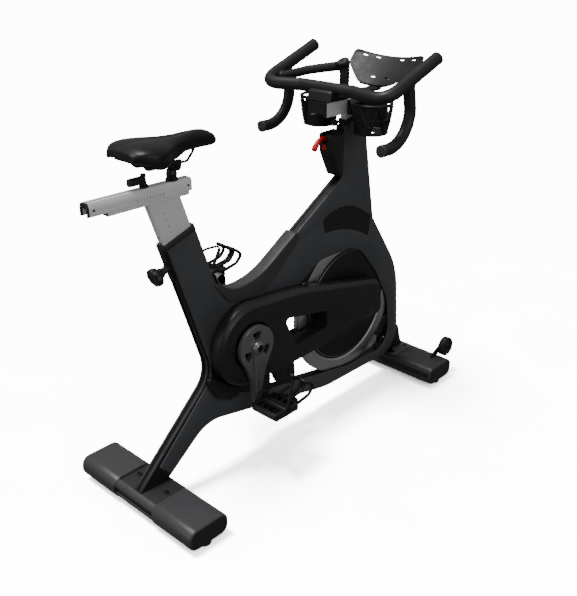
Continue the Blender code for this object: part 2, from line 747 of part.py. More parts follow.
def brake():
    """Magnet shoe that hangs just outside the flywheel's rim, and the clevis that it turns in."""
    shoe = arc(FLYWHEEL, SHOE_OUTER, SHOE_START, SHOE_END, 5)
    shoe += arc(FLYWHEEL, SHOE_INNER, SHOE_END, SHOE_START, 5)
    pivot = (BRAKE_PIVOT[0], 0.0, BRAKE_PIVOT[1])
    carrier = node("magnet_carrier", prism(shoe, -0.0143, 0.0143), BLACK_PAINT, pivot)
    ear = [(1.036, 0.178), (1.0555, 0.146), (1.0725, 0.154), (1.052, 0.192)]
    combine(carrier, "UNION", prism(ear, -0.0045, 0.0045))
    combine(carrier, "DIFFERENCE", rod(0.0036, -0.010, 0.010, 16, "Y", BRAKE_PIVOT))
    base = [(1.040, 0.1050), (1.078, 0.1048), (1.078, 0.152), (1.064, 0.158), (1.052, 0.152)]
    clevis = node("brake_bracket", prism(base, -0.0110, 0.0110), BLACK_PAINT)
    slot = [(1.030, 0.1300), (1.090, 0.1300), (1.090, 0.170), (1.030, 0.170)]
    combine(clevis, "DIFFERENCE", prism(slot, -0.0052, 0.0052))
    combine(clevis, "UNION", rod(0.0032, -0.0115, 0.0115, 16, "Y", BRAKE_PIVOT))


# ---------------------------------------------------------------- seat
LOWER_RAIL = (-0.062, 0.1860)
UPPER_RAIL = (-0.1150, 0.1905)


def seat_post():
    top = 0.8884
    axis_top = (top - SEAT_TUBE_TOP[1]) / math.cos(SEAT_ANGLE)
    middle = along(SEAT_TUBE_TOP, SEAT_ANGLE, axis_top)[0]
    half = SEAT_POST_HALF / math.cos(SEAT_ANGLE)
    low_front = along(SEAT_TUBE_TOP, SEAT_ANGLE, -0.155, SEAT_POST_HALF)
    low_rear = along(SEAT_TUBE_TOP, SEAT_ANGLE, -0.155, -SEAT_POST_HALF)
    outline = [low_rear, low_front, (middle + half, top), (middle - half, top)]
    node("seat_post", prism(outline, -SEAT_POST_THICK, SEAT_POST_THICK), ALUMINIUM)
    rail = [(-0.0108, top + GAP), (0.0108, top + GAP), (0.0108, 0.9212), (-0.0108, 0.9212)]
    node("lower_seat_rail", prism(rail, *LOWER_RAIL, "X"), ALUMINIUM)


def upper_seat_rail():
    half, top, low = SEAT_RAIL_HALF, SEAT_RAIL_TOP, 0.9000
    section = [
        (-half, low),
        (-0.0112, low),
        (-0.0112, 0.9216),
        (0.0112, 0.9216),
        (0.0112, low),
        (half, low),
        (half, top - 0.011),
        (half - 0.005, top),
        (0.0030, top),
        (0.0030, top - 0.003),
        (-0.0030, top - 0.003),
        (-0.0030, top),
        (-half + 0.005, top),
        (-half, top - 0.011),
    ]
    node("upper_seat_rail", prism(section, *UPPER_RAIL, "X"), ALUMINIUM)
    cap = [
        (-half, low),
        (-0.0112, low),
        (-0.0112, 0.9216),
        (0.0112, 0.9216),
        (0.0112, low),
        (half, low),
        (half, top - 0.011),
        (half - 0.005, top),
        (-half + 0.005, top),
        (-half, top - 0.011),
    ]
    end = prism(cap, UPPER_RAIL[0] - 0.006, UPPER_RAIL[0] - GAP, "X")
    node("seat_rail_rear_cap", end, BLACK_PLASTIC)


def saddle_mount():
    x = SADDLE_STEM_X
    base = SEAT_RAIL_TOP + GAP
    profile = [(0, base), (0.0155, base), (0.0165, base + 0.003), (0.0165, base + 0.011)]
    profile += [(0.0135, base + 0.014), (0.0125, 0.9620), (0, 0.9620)]
    node("saddle_stem", turned(profile, 24, "Z", (x, 0.0)), BLACK_PAINT)
    pivot = (x, 0.0, SADDLE_PIVOT_Z)
    barrel = rod(0.0128, -0.0300, 0.0300, 24, "Y", (x, SADDLE_PIVOT_Z))
    clamp = node("saddle_clamp", barrel, BLACK_PAINT, pivot)
    for y in (-0.0215, 0.0215):
        combine(clamp, "DIFFERENCE", rod(0.0039, x - 0.03, x + 0.03, 12, "X", (y, 0.9800)))
    wire = [
        (0.028, 0.030, 1.0018),
        (0.052, 0.0215, 0.9800),
        (0.176, 0.0215, 0.9800),
        (0.197, 0.0150, 1.0025),
        (0.205, 0.0, 1.0025),
        (0.197, -0.0150, 1.0025),
        (0.176, -0.0215, 0.9800),
        (0.052, -0.0215, 0.9800),
        (0.028, -0.030, 1.0018),
    ]
    node("saddle_rails", swept(rounded_path(wire, 0.012, 3), 0.0035, 10), DARK_STEEL, pivot)


SADDLE_REAR, SADDLE_NOSE = -0.010, 0.290
SADDLE_WIDEST = 0.088  # half widths of the wings and of the nose
SADDLE_SLIM = 0.019
SADDLE_TOP = 1.044
SADDLE_UNDER = 1.0065
WING_DROOP = 0.016
SADDLE_EDGE = ((0.5, 0.97), (0.86, 0.80), (1.0, 0.40))  # share of the half width, share of the height
SADDLE_DOME = [(-share, level) for share, level in SADDLE_EDGE[::-1]] + [(0.0, 1.0), *SADDLE_EDGE]
SADDLE_BELLY = (0.86, 0.45, 0.0, -0.45, -0.86)


def saddle_half(t):
    """Half the saddle's width at a fraction of its length: round wings, then a slim nose."""
    wings = SADDLE_WIDEST * math.sin(math.pi * min(0.5, (t + 0.08) / 0.55)) ** 0.7
    waist = max(0.0, 1.0 - (t - 0.22) / 0.50) ** 1.9
    half = min(wings, SADDLE_SLIM + (SADDLE_WIDEST - SADDLE_SLIM) * waist)
    if t > 0.93:
        half *= math.sqrt(max(0.12, 1.0 - ((t - 0.93) / 0.075) ** 2))
    return half


def saddle_top(t):
    nose_fall = 0.016 * (max(0.0, t - 0.85) / 0.15) ** 2
    return SADDLE_TOP - 0.004 * math.sin(math.pi * t) + 0.004 * math.cos(2 * math.pi * t) - nose_fall


def saddle():
    """A plain closed cushion: wide wings at the back, a slim nose, and a slightly domed top."""
    mesh = bmesh.new()
    rings = []
    stations = 22
    for index in range(stations + 1):
        t = index / stations
        half, top = saddle_half(t), saddle_top(t)
        under = SADDLE_UNDER if t < 0.85 else SADDLE_UNDER + 0.0055
        droop = WING_DROOP * max(0.0, (half - 0.030) / (SADDLE_WIDEST - 0.030))
        x = SADDLE_REAR + (SADDLE_NOSE - SADDLE_REAR) * t
        ring = []
        for share, level in SADDLE_DOME:
            low = under - droop * share**2
            ring.append(mesh.verts.new((x, half * share, low + (top - low) * level)))
        for share in SADDLE_BELLY:
            ring.append(mesh.verts.new((x, half * share, under - droop * share**4)))
        rings.append(ring)
    for low, high in zip(rings, rings[1:]):
        for step in range(len(low)):
            after = (step + 1) % len(low)
            mesh.faces.new((low[step], low[after], high[after], high[step]))
    mesh.faces.new(rings[0])
    mesh.faces.new(rings[-1])
    bmesh.ops.recalc_face_normals(mesh, faces=mesh.faces)
    node("saddle", mesh, VINYL, (SADDLE_STEM_X, 0.0, SADDLE_PIVOT_Z))


SEAT_LEVER_X = 0.054


def seat_lock_lever():
    base = SEAT_RAIL_TOP + GAP
    profile = [(0, base), (0.0115, base), (0.0115, base + 0.006), (0.0070, base + 0.009)]
    profile += [(0.0070, 0.9680), (0, 0.9680)]
    hub = turned(profile, 20, "Z", (SEAT_LEVER_X, 0.0))
    lever = node("seat_lock_lever", hub, BLACK_PLASTIC, (SEAT_LEVER_X, 0.0, base))
    paddle = [
        (SEAT_LEVER_X - 0.050, -0.0060, 0.004),
        (SEAT_LEVER_X + 0.002, -0.0045, 0.0),
        (SEAT_LEVER_X + 0.002, 0.0045, 0.0),
        (SEAT_LEVER_X - 0.050, 0.0060, 0.004),
    ]
    combine(lever, "UNION", prism(filleted(paddle), 0.9440, 0.9620, "Z"))


def pull_pin(prefix, origin, angle, knob_radius, grip):
    """A sprung pull pin: a fixed housing and a knob with its plunger. Both lie along local -X."""
    housing = washer(0.0100, 0.0048, -0.0200, 0.0, 20, "X")
    if prefix == "seat":
        node("seat_pin_housing", tilted(housing, origin, angle), DARK_STEEL)
    profile = [(0, -0.0060), (0.0042, -0.0060), (0.0042, -0.0215), (0.0110, -0.0215)]
    profile += [(knob_radius * 0.8, -0.0290), (knob_radius, -0.0330), (knob_radius, -0.0215 - grip)]
    profile += [(knob_radius * 0.8, -0.0255 - grip), (0, -0.0255 - grip)]
    pivot = (origin[0], 0.0, origin[1])
    node(f"{prefix}_pin_knob", tilted(turned(profile, 24, "X"), origin, angle), BLACK_PLASTIC, pivot)


def pull_pins():
    seat = along(SEAT_TUBE_TOP, SEAT_ANGLE, -0.054, -SEAT_TUBE_HALF - 0.0014)
    pull_pin("seat", seat, SEAT_ANGLE, 0.0265, 0.030)
    pull_pin("bar", (0.8060, 0.9800), 0.0, 0.0110, 0.018)


# ---------------------------------------------------------------- resistance control
LEVER_PIVOT = (0.7385, 0.9370)


def control_pod():
    shell = [
        (0.7925, 0.8180, 0.003),
        (0.7925, 0.9560, 0.004),
        (0.7240, 0.9540, 0.010),
        (0.7280, 0.8950, 0.030),
        (0.7660, 0.8180, 0.010),
    ]
    pod = node("control_pod", prism(filleted(shell), -0.0240, 0.0240), BLACK_PLASTIC)
    combine(pod, "DIFFERENCE", block((0.7000, -0.0080, 0.9240), (0.7500, 0.0080, 0.9800)))
    path = [(0.7385, 0.0, 0.9370), (0.7150, 0.0, 0.9420), (0.6960, 0.0, 0.9330), (0.6800, 0.0, 0.9140)]
    pivot = (LEVER_PIVOT[0], 0.0, LEVER_PIVOT[1])
    lever = node("shift_lever", rod(0.0085, -0.0072, 0.0072, 20, "Y", LEVER_PIVOT), RED, pivot)
    combine(lever, "UNION", swept(rounded_path(path, 0.020, 4), 0.0058, 10))


# ---------------------------------------------------------------- handlebar
def handlebar_post():
    top = 1.0120
    length = (top - HEAD_TOP[1]) / math.cos(HEAD_ANGLE)
    middle = along(HEAD_TOP, HEAD_ANGLE, length)[0]
    half = BAR_POST_HALF / math.cos(HEAD_ANGLE)
    low_front = along(HEAD_TOP, HEAD_ANGLE, -0.200, BAR_POST_HALF)
    low_rear = along(HEAD_TOP, HEAD_ANGLE, -0.200, -BAR_POST_HALF)
    outline = [low_rear, low_front, (middle + half, top), (middle - half, top)]
    post = node("handlebar_post", prism(outline, -BAR_POST_THICK, BAR_POST_THICK), ALUMINIUM)
    head = block((0.752, -0.0258, top - 0.0005), (0.912, 0.0258, 1.0425))
    combine(post, "UNION", head)


def slider():
    section = [
        (-0.0330, 1.0090),
        (-0.0264, 1.0090),
        (-0.0264, 1.0431),
        (0.0264, 1.0431),
        (0.0264, 1.0090),
        (0.0330, 1.0090),
        (0.0330, SLIDER_TOP - 0.003),
        (0.0300, SLIDER_TOP),
        (-0.0300, SLIDER_TOP),
        (-0.0330, SLIDER_TOP - 0.003),
    ]
    node("handlebar_slider", prism(section, 0.6960, 0.8980, "X"), ALUMINIUM)
    node("slider_rear_cap", prism(section, 0.6890, 0.6960 - GAP, "X"), BLACK_PLASTIC)
    base = SLIDER_TOP + GAP
    shell = [
        (0.6960, base, 0.0),
        (0.7950, base, 0.0),
        (0.7700, 1.0850, 0.006),
        (0.7010, 1.0850, 0.006),
    ]
    cradle = node("crossbar_saddle", prism(filleted(shell), -0.0450, 0.0450), BLACK_PLASTIC)
    seat = rod(BAR_RADIUS + GAP, -0.050, 0.050, 28, "Y", (BAR_X, BAR_Z))
    combine(cradle, "DIFFERENCE", seat)


DROP_RADIUS = 0.097


def handlebar():
    """Cross tube, two raised bar ends, two drops and a braced stem, welded into one piece."""
    half, low = BAR_HALF, BAR_Z
    tip = (0.943, 1.172)
    cross = [
        (tip[0], -half, tip[1]),
        (BAR_X - BAR_SWEEP, -half, low - 0.005),
        (BAR_X, -0.100, low),
        (BAR_X, 0.100, low),
        (BAR_X - BAR_SWEEP, half, low - 0.005),
        (tip[0], half, tip[1]),
    ]
    path = [Vector(cross[0])]
    path += rounded_path(cross, 0.065, 6)[1:]
    bar = node("handlebar", swept(path, BAR_RADIUS, 14), BLACK_RUBBER)
    for side in (-1, 1):
        y = side * half
        bend = arc((0.725, 1.042), DROP_RADIUS, 0.0, -90.0, 8)
        drop = [(0.8080, y, 1.1150), *[(x, y, z) for x, z in bend], (0.6920, y, 0.9450)]
        combine(bar, "UNION", swept(drop, BAR_RADIUS - 0.0012, 14))
    brace = [(0.7700, 0.225, 1.0900), (0.7880, 0.120, 1.1200), (STEM_X, 0.0, 1.1420)]
    combine(bar, "UNION", swept(rounded_path(brace, 0.05, 3), 0.0135, 12))
    combine(bar, "UNION", rod(0.0150, SLIDER_TOP + GAP, 1.1560, 20, "Z", (STEM_X, 0.0)))
    cap = [(0, 1.1540), (0.0165, 1.1540), (0.0180, 1.1600), (0.0150, 1.1680), (0, 1.1690)]
    combine(bar, "UNION", turned(cap, 20, "Z", (STEM_X, 0.0)))


HOLDER_LOW = Vector((0.953, 0.0, 1.0725))
HOLDER_HIGH = Vector((1.029, 0.0, 1.160))
HOLDER_FOOT, HOLDER_WIDE = 0.063, 0.134  # half widths at the bottom edge and near the top
HOLDER_SHOULDER = 0.55  # share of the height where the plate is at its full width
HOLDER_THICK = 0.0035
HOLDER_ROWS = (0.0, 0.30, HOLDER_SHOULDER, 0.90, 1.0)


def holder_half(t):
    if t > 0.95:
        return HOLDER_WIDE - 0.008
    return HOLDER_FOOT + (HOLDER_WIDE - HOLDER_FOOT) * min(1.0, t / HOLDER_SHOULDER)


def tablet_holder():
    """A dished plate that leans back, on a neck that clips to the stem."""
    rise = HOLDER_HIGH - HOLDER_LOW
    back = Vector((rise.z, 0.0, -rise.x)).normalized()
    mesh = bmesh.new()
    sheets = []
    for offset in (0.0, HOLDER_THICK):
        rows = []
        for t in HOLDER_ROWS:
            line = []
            for column in range(9):
                share = -1 + column / 4
                dish = 0.022 * (1 - share * share) * (0.5 + 0.5 * t)
                sideways = Vector((0, holder_half(t) * share, 0))
                line.append(mesh.verts.new(HOLDER_LOW + rise * t + back * (offset + dish) + sideways))
            rows.append(line)
        sheets.append(rows)
        for lower, upper in zip(rows, rows[1:]):
            for column in range(8):
                corners = (lower[column], lower[column + 1], upper[column + 1], upper[column])
                mesh.faces.new(corners)
    front, rear = [
        rows[0] + [row[-1] for row in rows[1:]] + rows[-1][-2::-1] + [row[0] for row in rows[-2:0:-1]]
        for rows in sheets
    ]
    for index in range(len(front)):
        after = (index + 1) % len(front)
        mesh.faces.new((front[index], front[after], rear[after], rear[index]))
    bmesh.ops.recalc_face_normals(mesh, faces=mesh.faces)
    holder = node("tablet_holder", mesh, BLACK_PLASTIC)
    base = SLIDER_TOP + GAP
    neck = [
        (0.8480, base),
        (0.9000, base),
        (0.9650, 1.0530),
        (1.0180, 1.0960),
        (1.0048, 1.1045),
        (0.9626, 1.0641),
        (0.9450, 1.0620),
        (0.8480, 1.0640),
    ]
    combine(holder, "UNION", prism(neck, -0.0200, 0.0200))


CAGE_X, CAGE_Y = 0.820, 0.100
CAGE_LOW, CAGE_HIGH = 0.955, 1.045


def bottle_cages():
    """Tapered open baskets hung from the slider's two sides, with triangular windows."""
    foot, mouth, wall = 0.0500, 0.0630, 0.0035
    shell = [
        (foot - 0.006, CAGE_LOW),
        (foot, CAGE_LOW),
        (mouth, CAGE_HIGH - 0.010),
        (mouth - 0.001, CAGE_HIGH),
        (mouth - wall, CAGE_HIGH),
        (mouth - wall, CAGE_HIGH - 0.010),
        (foot - wall + 0.0007, CAGE_LOW + wall),
        (foot - 0.006, CAGE_LOW + wall),
    ]
    room = [
        (0, CAGE_LOW + 0.006),
        (foot - wall + 0.0010, CAGE_LOW + 0.006),
        (mouth - wall, CAGE_HIGH - 0.010),
        (mouth - wall, CAGE_HIGH + 0.010),
        (0, CAGE_HIGH + 0.010),
    ]
    windows = 7
    for side, hand in ((-1, "right"), (1, "left")):
        centre = (CAGE_X, side * CAGE_Y)
        basket = node(f"bottle_cage_{hand}", turned(shell, 32, "Z", centre), BLACK_PLASTIC)
        for step in range(windows):
            angle = math.radians(side * (90 + 34 * (step - windows // 2)))
            base, tip = CAGE_LOW + 0.014, CAGE_HIGH - 0.018
            if step % 2 == 0:
                base, tip = tip, base
            window = prism([(-0.0150, base), (0.0150, base), (0.0, tip)], 0.040, 0.075, "X")
            turn = Matrix.Translation((*centre, 0.0)) @ Matrix.Rotation(angle, 4, "Z")
            bmesh.ops.transform(window, matrix=turn, verts=window.verts)
            combine(basket, "DIFFERENCE", window)
        ends = sorted((side * (0.0330 + GAP), side * 0.0550))
        combine(basket, "UNION", block((0.7880, ends[0], 1.0080), (0.8520, ends[1], CAGE_HIGH)))
        combine(basket, "DIFFERENCE", turned(room, 32, "Z", centre))


def build():
    frame_core()
    frame_panels()
    swoop_pad()
    collars()
    stabilisers()
    levelling_feet()
    transport_wheels()
    belt_guard()
    stays()
    bottom_bracket()
    drive_train()
    crank_arm(-1, "right_crank_arm")
    crank_arm(1, "left_crank_arm")
    pedals()
    flywheel_group()
    brake()
    seat_post()
    upper_seat_rail()
    saddle_mount()
    saddle()
    seat_lock_lever()
    pull_pins()
    control_pod()
    handlebar_post()
    slider()
    handlebar()
    tablet_holder()
    bottle_cages()


build()
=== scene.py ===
"""Looks of the indoor training cycle: visible pieces, finishes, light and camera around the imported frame.

Lengths are metres. Sketch coordinates have x = 0 at the rear stabiliser's middle, as the frame is
easiest to read that way, and every piece is moved by SHIFT into the row frame.
"""

import math

import bmesh
import bpy
from mathutils import Matrix, Vector


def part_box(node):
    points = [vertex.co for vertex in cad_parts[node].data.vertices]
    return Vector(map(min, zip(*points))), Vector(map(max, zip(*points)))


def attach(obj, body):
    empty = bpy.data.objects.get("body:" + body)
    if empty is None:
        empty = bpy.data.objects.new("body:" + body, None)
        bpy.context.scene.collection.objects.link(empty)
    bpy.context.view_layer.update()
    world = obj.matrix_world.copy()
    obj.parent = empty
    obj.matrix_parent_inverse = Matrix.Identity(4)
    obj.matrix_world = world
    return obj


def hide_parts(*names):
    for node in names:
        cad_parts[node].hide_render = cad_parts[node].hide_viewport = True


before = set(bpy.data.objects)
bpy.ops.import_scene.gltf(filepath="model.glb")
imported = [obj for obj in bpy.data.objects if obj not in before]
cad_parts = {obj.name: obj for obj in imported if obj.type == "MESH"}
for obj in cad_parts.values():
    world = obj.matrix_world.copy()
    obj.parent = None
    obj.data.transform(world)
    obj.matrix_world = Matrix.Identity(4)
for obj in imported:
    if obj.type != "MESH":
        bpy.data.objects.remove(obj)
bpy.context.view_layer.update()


def middle(name):
    low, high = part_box(name)
    return (Vector(low) + Vector(high)) / 2


# ---------------------------------------------------------------- places taken from the frame
SHIFT = middle("rear_stabiliser").x
CRANK = (middle("crank_axle").x - SHIFT, middle("crank_axle").z)
FLYWHEEL = (middle("flywheel").x - SHIFT, middle("flywheel").z)
FLYWHEEL_RADIUS = (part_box("flywheel")[1][2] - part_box("flywheel")[0][2]) / 2
CRANK_LENGTH = CRANK[1] - middle("right_pedal").z
CORE_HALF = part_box("frame_core")[1][1]
PANEL_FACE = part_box("frame_panel_left")[1][1]
GAP = 0.0003
BEAM_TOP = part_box("front_stabiliser")[1][2]
BEAM_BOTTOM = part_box("front_stabiliser")[0][2]
FRONT_X = middle("front_stabiliser").x - SHIFT
REAR_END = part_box("rear_cover_left")[1][1]
FRONT_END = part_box("front_stabiliser")[1][1]
SEAT_RAIL_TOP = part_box("upper_seat_rail")[1][2]
SLIDER_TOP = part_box("handlebar_slider")[1][2]
SEAT_TUBE_TOP = (0.146, 0.774)
SEAT_ANGLE = math.radians(19.0)
HEAD_TOP = (0.849, 0.966)
HEAD_ANGLE = math.radians(10.0)
STEM_X = 0.812
SADDLE_X, SADDLE_Z = 0.1415, middle("saddle_clamp").z
HANDS = ((-1, "right"), (1, "left"))
SHARP = 35  # degrees between faces beyond which an edge is shaded sharp
BEARING_HOLE = 0.0263
RAIL_ROOF = 0.9216  # underside of the upper seat rail's web
LEVER_PIVOT = (0.7385, 0.937)


# ---------------------------------------------------------------- outlines in a plane
def arc(centre, radius, start, end, steps):
    points = []
    for step in range(steps + 1):
        angle = math.radians(start + (end - start) * step / steps)
        points.append((centre[0] + radius * math.cos(angle), centre[1] + radius * math.sin(angle)))
    return points


def circle(centre, radius, steps):
    return arc(centre, radius, 0.0, 360.0 * (steps - 1) / steps, steps - 1)


def filleted(corners, step_degrees=5.0):
    """A closed outline from corners (u, v, fillet radius); a radius of 0 keeps the corner sharp."""
    points = []
    count = len(corners)
    for index, (u, v, radius) in enumerate(corners):
        here = Vector((u, v))
        back = (Vector(corners[index - 1][:2]) - here).normalized()
        ahead = (Vector(corners[(index + 1) % count][:2]) - here).normalized()
        inside = back.angle(ahead)
        if radius <= 0.0 or inside > math.pi - 1e-3:
            points.append((u, v))
            continue
        reach = radius / math.tan(inside / 2)
        centre = here + (back + ahead).normalized() * (radius / math.sin(inside / 2))
        first = here + back * reach - centre
        turn = math.pi - inside
        if first.cross(here + ahead * reach - centre) < 0:
            turn = -turn
        steps = max(2, round(abs(math.degrees(turn)) / step_degrees))
        for step in range(steps + 1):
            points.append(tuple(centre + Matrix.Rotation(turn * step / steps, 2) @ first))
    return points


def inset(corners, distance):
    """The same corners moved in by a distance, for an outline that runs anticlockwise."""
    moved = []
    count = len(corners)
    for index, (u, v, radius) in enumerate(corners):
        here = Vector((u, v))
        before = (here - Vector(corners[index - 1][:2])).normalized()
        after = (Vector(corners[(index + 1) % count][:2]) - here).normalized()
        left_before = Vector((-before.y, before.x))
        left_after = Vector((-after.y, after.x))
        mitre = (left_before + left_after) / (1.0 + left_before.dot(left_after))
        convex = before.cross(after) > 0
        kept = max(0.0005, radius - distance) if convex else radius + distance
        point = here + mitre * distance
        moved.append((point.x, point.y, kept if radius > 0 else 0.0))
    return moved


def stadium(centre, width, height, radius):
    """The corners of a rectangle about a centre, all with one fillet radius."""
    half_w, half_h = width / 2, height / 2
    u, v = centre
    return [
        (u - half_w, v - half_h, radius),
        (u + half_w, v - half_h, radius),
        (u + half_w, v + half_h, radius),
        (u - half_w, v + half_h, radius),
    ]


def mirrored(half):
    """Points (u, v), then the same points back to front on the other side of v = 0."""
    return half + [(u, -v) for u, v in reversed(half)]


def both_sides(half):
    """A closed section from its half with positive (across, z) points."""
    return half + [(-across, z) for across, z in reversed(half)]


def along(origin, angle, distance, across):
    """A point in the side view, measured up a tilted post from its origin and forward across it."""
    up = Vector((-math.sin(angle), math.cos(angle)))
    forward = Vector((math.cos(angle), math.sin(angle)))
    point = Vector(origin) + up * distance + forward * across
    return (point.x, point.y)


# ---------------------------------------------------------------- solids
def placed(point, height, axis):
    u, v = point
    if axis == "Y":
        return (u, height, v)
    if axis == "X":
        return (height, u, v)
    return (u, v, height)


def stacked(levels, axis="Y", holes=()):
    """A closed mesh through outlines with equal point counts, each level an (outline, height).

    Each hole is an outline, or a list of (outline, height) levels of its own.
    """
    mesh = bmesh.new()
    loops = []

    def skin(rows):
        rings = []
        for outline, height in rows:
            rings.append([mesh.verts.new(placed(point, height, axis)) for point in outline])
        for low, high in zip(rings, rings[1:]):
            for index in range(len(low)):
                after = (index + 1) % len(low)
                mesh.faces.new((low[index], low[after], high[after], high[index]))
        loops.append((rings[0], rings[-1]))

    skin(levels)
    for hole in holes:
        if not isinstance(hole[0][0], (list, tuple)):
            hole = [(hole, levels[0][1]), (hole, levels[-1][1])]
        skin(hole)
    for end in (0, 1):
        edges = []
        for pair in loops:
            ring = pair[end]
            for index, vert in enumerate(ring):
                edges.append(mesh.edges.get((vert, ring[(index + 1) % len(ring)])))
        bmesh.ops.triangle_fill(mesh, use_beauty=True, use_dissolve=False, edges=edges)
    bmesh.ops.recalc_face_normals(mesh, faces=mesh.faces)
    return mesh


def layers(corners, levels, step_degrees=5.0):
    """Levels for stacked, from corners and a list of (inset distance, height)."""
    return [(filleted(inset(corners, depth), step_degrees), height) for depth, height in levels]


def prism(outline, low, high, axis="Y", holes=()):
    low, high = sorted((low, high))
    return stacked([(outline, low), (outline, high)], axis, holes)


def cushioned(corners, low, high, edge, axis="Y", holes=(), both=True):
    """A prism from corners whose high edge, and low edge unless both is False, is rounded by edge."""
    low, high = sorted((low, high))
    turns = [math.radians(90 * step / 4) for step in range(5)]
    curve = [(edge * (1 - math.sin(angle)), edge * (1 - math.cos(angle))) for angle in turns]
    levels = [(depth, low + back) for depth, back in curve] if both else [(0.0, low)]
    levels += [(depth, high - back) for depth, back in reversed(curve)]
    return stacked(layers(corners, levels), axis, holes)


def turned(profile, steps=64, axis="Y", centre=(0.0, 0.0)):
    """A turned solid. The profile is a closed loop of (radius, height); radius 0 lies on the axis."""
    mesh = bmesh.new()
    rings = []
    for radius, height in profile:
        if radius <= 0.0:
            rings.append([mesh.verts.new(placed(centre, height, axis))])
        else:
            rings.append([mesh.verts.new(placed(p, height, axis)) for p in circle(centre, radius, steps)])
    for index, ring in enumerate(rings):
        other = rings[(index + 1) % len(rings)]
        if len(ring) == 1 and len(other) == 1:
            continue
        for step in range(steps):
            after = (step + 1) % steps
            corners = [ring[step % len(ring)], ring[after % len(ring)]]
            corners += [other[after % len(other)], other[step % len(other)]]
            unique = [vert for place, vert in enumerate(corners) if vert not in corners[:place]]
            mesh.faces.new(unique)
    bmesh.ops.recalc_face_normals(mesh, faces=mesh.faces)
    return mesh


def softened(profile, edge):
    """A turned profile with each corner replaced by two points a little way along its edges."""
    points = []
    count = len(profile)
    for index, (radius, height) in enumerate(profile):
        if radius <= 0.0:
            points.append((radius, height))
            continue
        here = Vector((radius, height))
        for other in (profile[index - 1], profile[(index + 1) % count]):
            way = Vector(other) - here
            step = min(edge, way.length * 0.4)
            points.append(tuple(here + way.normalized() * step))
    return points


def rod(radius, low, high, steps=32, axis="Y", centre=(0.0, 0.0), edge=0.0006):
    low, high = sorted((low, high))
    profile = [(0, low), (radius - edge, low), (radius, low + edge)]
    profile += [(radius, high - edge), (radius - edge, high), (0, high)]
    return turned(profile, steps, axis, centre)


def turned_out(side, points, steps, centre):
    """A turned solid about an axis along Y, from (radius, distance) points that run out to a side."""
    return turned([(radius, side * y) for radius, y in points], steps, "Y", centre)


def washer(outer, inner, low, high, steps=48, axis="Y", centre=(0.0, 0.0)):
    profile = [(inner, low), (outer, low), (outer, high), (inner, high)]
    return turned(softened(profile, 0.0005), steps, axis, centre)


def block(low, high):
    outline = [(low[0], low[1]), (high[0], low[1]), (high[0], high[1]), (low[0], high[1])]
    return prism(outline, low[2], high[2], "Z")


def swept(path, radius, sides=20, closed=False, flat=1.0, up=None):
    """A bar along a 3-D path. flat squashes it along up, and radius may be a list, one for each point."""
    points = [Vector(point) for point in path]
    count = len(points)
    mesh = bmesh.new()
    rings = []
    normal = Vector(up) if up else None
    for index, point in enumerate(points):
        before = points[index - 1] if (index or closed) else point
        after = points[(index + 1) % count] if (index + 1 < count or closed) else point
        tangent = (after - before).normalized()
        if normal is None:
            normal = tangent.orthogonal().normalized()
        normal = (normal - tangent * normal.dot(tangent)).normalized()
        side = tangent.cross(normal)
        size = radius[index] if isinstance(radius, (list, tuple)) else radius
        ring = []
        for step in range(sides):
            angle = 2 * math.pi * step / sides
            spoke = normal * (math.cos(angle) * flat) + side * math.sin(angle)
            ring.append(mesh.verts.new(point + spoke * size))
        rings.append(ring)
    last = count if closed else count - 1
    for index in range(last):
        ring, other = rings[index], rings[(index + 1) % count]
        shift = 0
        if closed and index == count - 1:
            shift = min(range(sides), key=lambda s: (ring[0].co - other[s].co).length)
        for step in range(sides):
            after = (step + 1) % sides
            first, second = (step + shift) % sides, (after + shift) % sides
            mesh.faces.new((ring[step], ring[after], other[second], other[first]))
    if not closed:
        mesh.faces.new(rings[0])
        mesh.faces.new(rings[-1])
    bmesh.ops.recalc_face_normals(mesh, faces=mesh.faces)
    return mesh


def thick_sheet(front, back):
    """A closed mesh between two equal grids of points, each a list of rows, with walls round the edge."""
    mesh = bmesh.new()
    front = [[mesh.verts.new(point) for point in row] for row in front]
    back = [[mesh.verts.new(point) for point in row] for row in back]
    rows, columns = len(front) - 1, len(front[0]) - 1
    for grid in (front, back):
        for low, high in zip(grid, grid[1:]):
            for c in range(columns):
                mesh.faces.new((low[c], low[c + 1], high[c + 1], high[c]))
    edge = [(row, 0) for row in range(rows)] + [(rows, c) for c in range(columns)]
    edge += [(row, columns) for row in range(rows, 0, -1)] + [(0, c) for c in range(columns, 0, -1)]
    for (r, c), (next_r, next_c) in zip(edge, edge[1:] + edge[:1]):
        mesh.faces.new((front[r][c], front[next_r][next_c], back[next_r][next_c], back[r][c]))
    bmesh.ops.recalc_face_normals(mesh, faces=mesh.faces)
    return mesh


def rounded_path(points, radius, steps=10):
    """A path through points, with each bend drawn as a curve of about the radius."""
    rounded = [Vector(points[0])]
    for before, here, after in zip(points, points[1:], points[2:]):
        here = Vector(here)
        back, ahead = Vector(before) - here, Vector(after) - here
        inside = back.angle(ahead)
        reach = min(radius / math.tan(inside / 2), back.length * 0.49, ahead.length * 0.49)
        start, end = here + back.normalized() * reach, here + ahead.normalized() * reach
        for step in range(steps + 1):
            t = step / steps
            rounded.append(start * (1 - t) ** 2 + here * 2 * t * (1 - t) + end * t**2)
    rounded.append(Vector(points[-1]))
    return rounded


def tilted(mesh, origin, angle):
    """Leans a mesh back by an angle about Y, then moves its origin to a point in the side view."""
    turn = Matrix.Rotation(-angle, 4, "Y")
    shift = Matrix.Translation((origin[0], 0.0, origin[1]))
    bmesh.ops.transform(mesh, matrix=shift @ turn, verts=mesh.verts)
    return mesh


def moved(mesh, offset):
    bmesh.ops.translate(mesh, verts=mesh.verts, vec=offset)
    return mesh


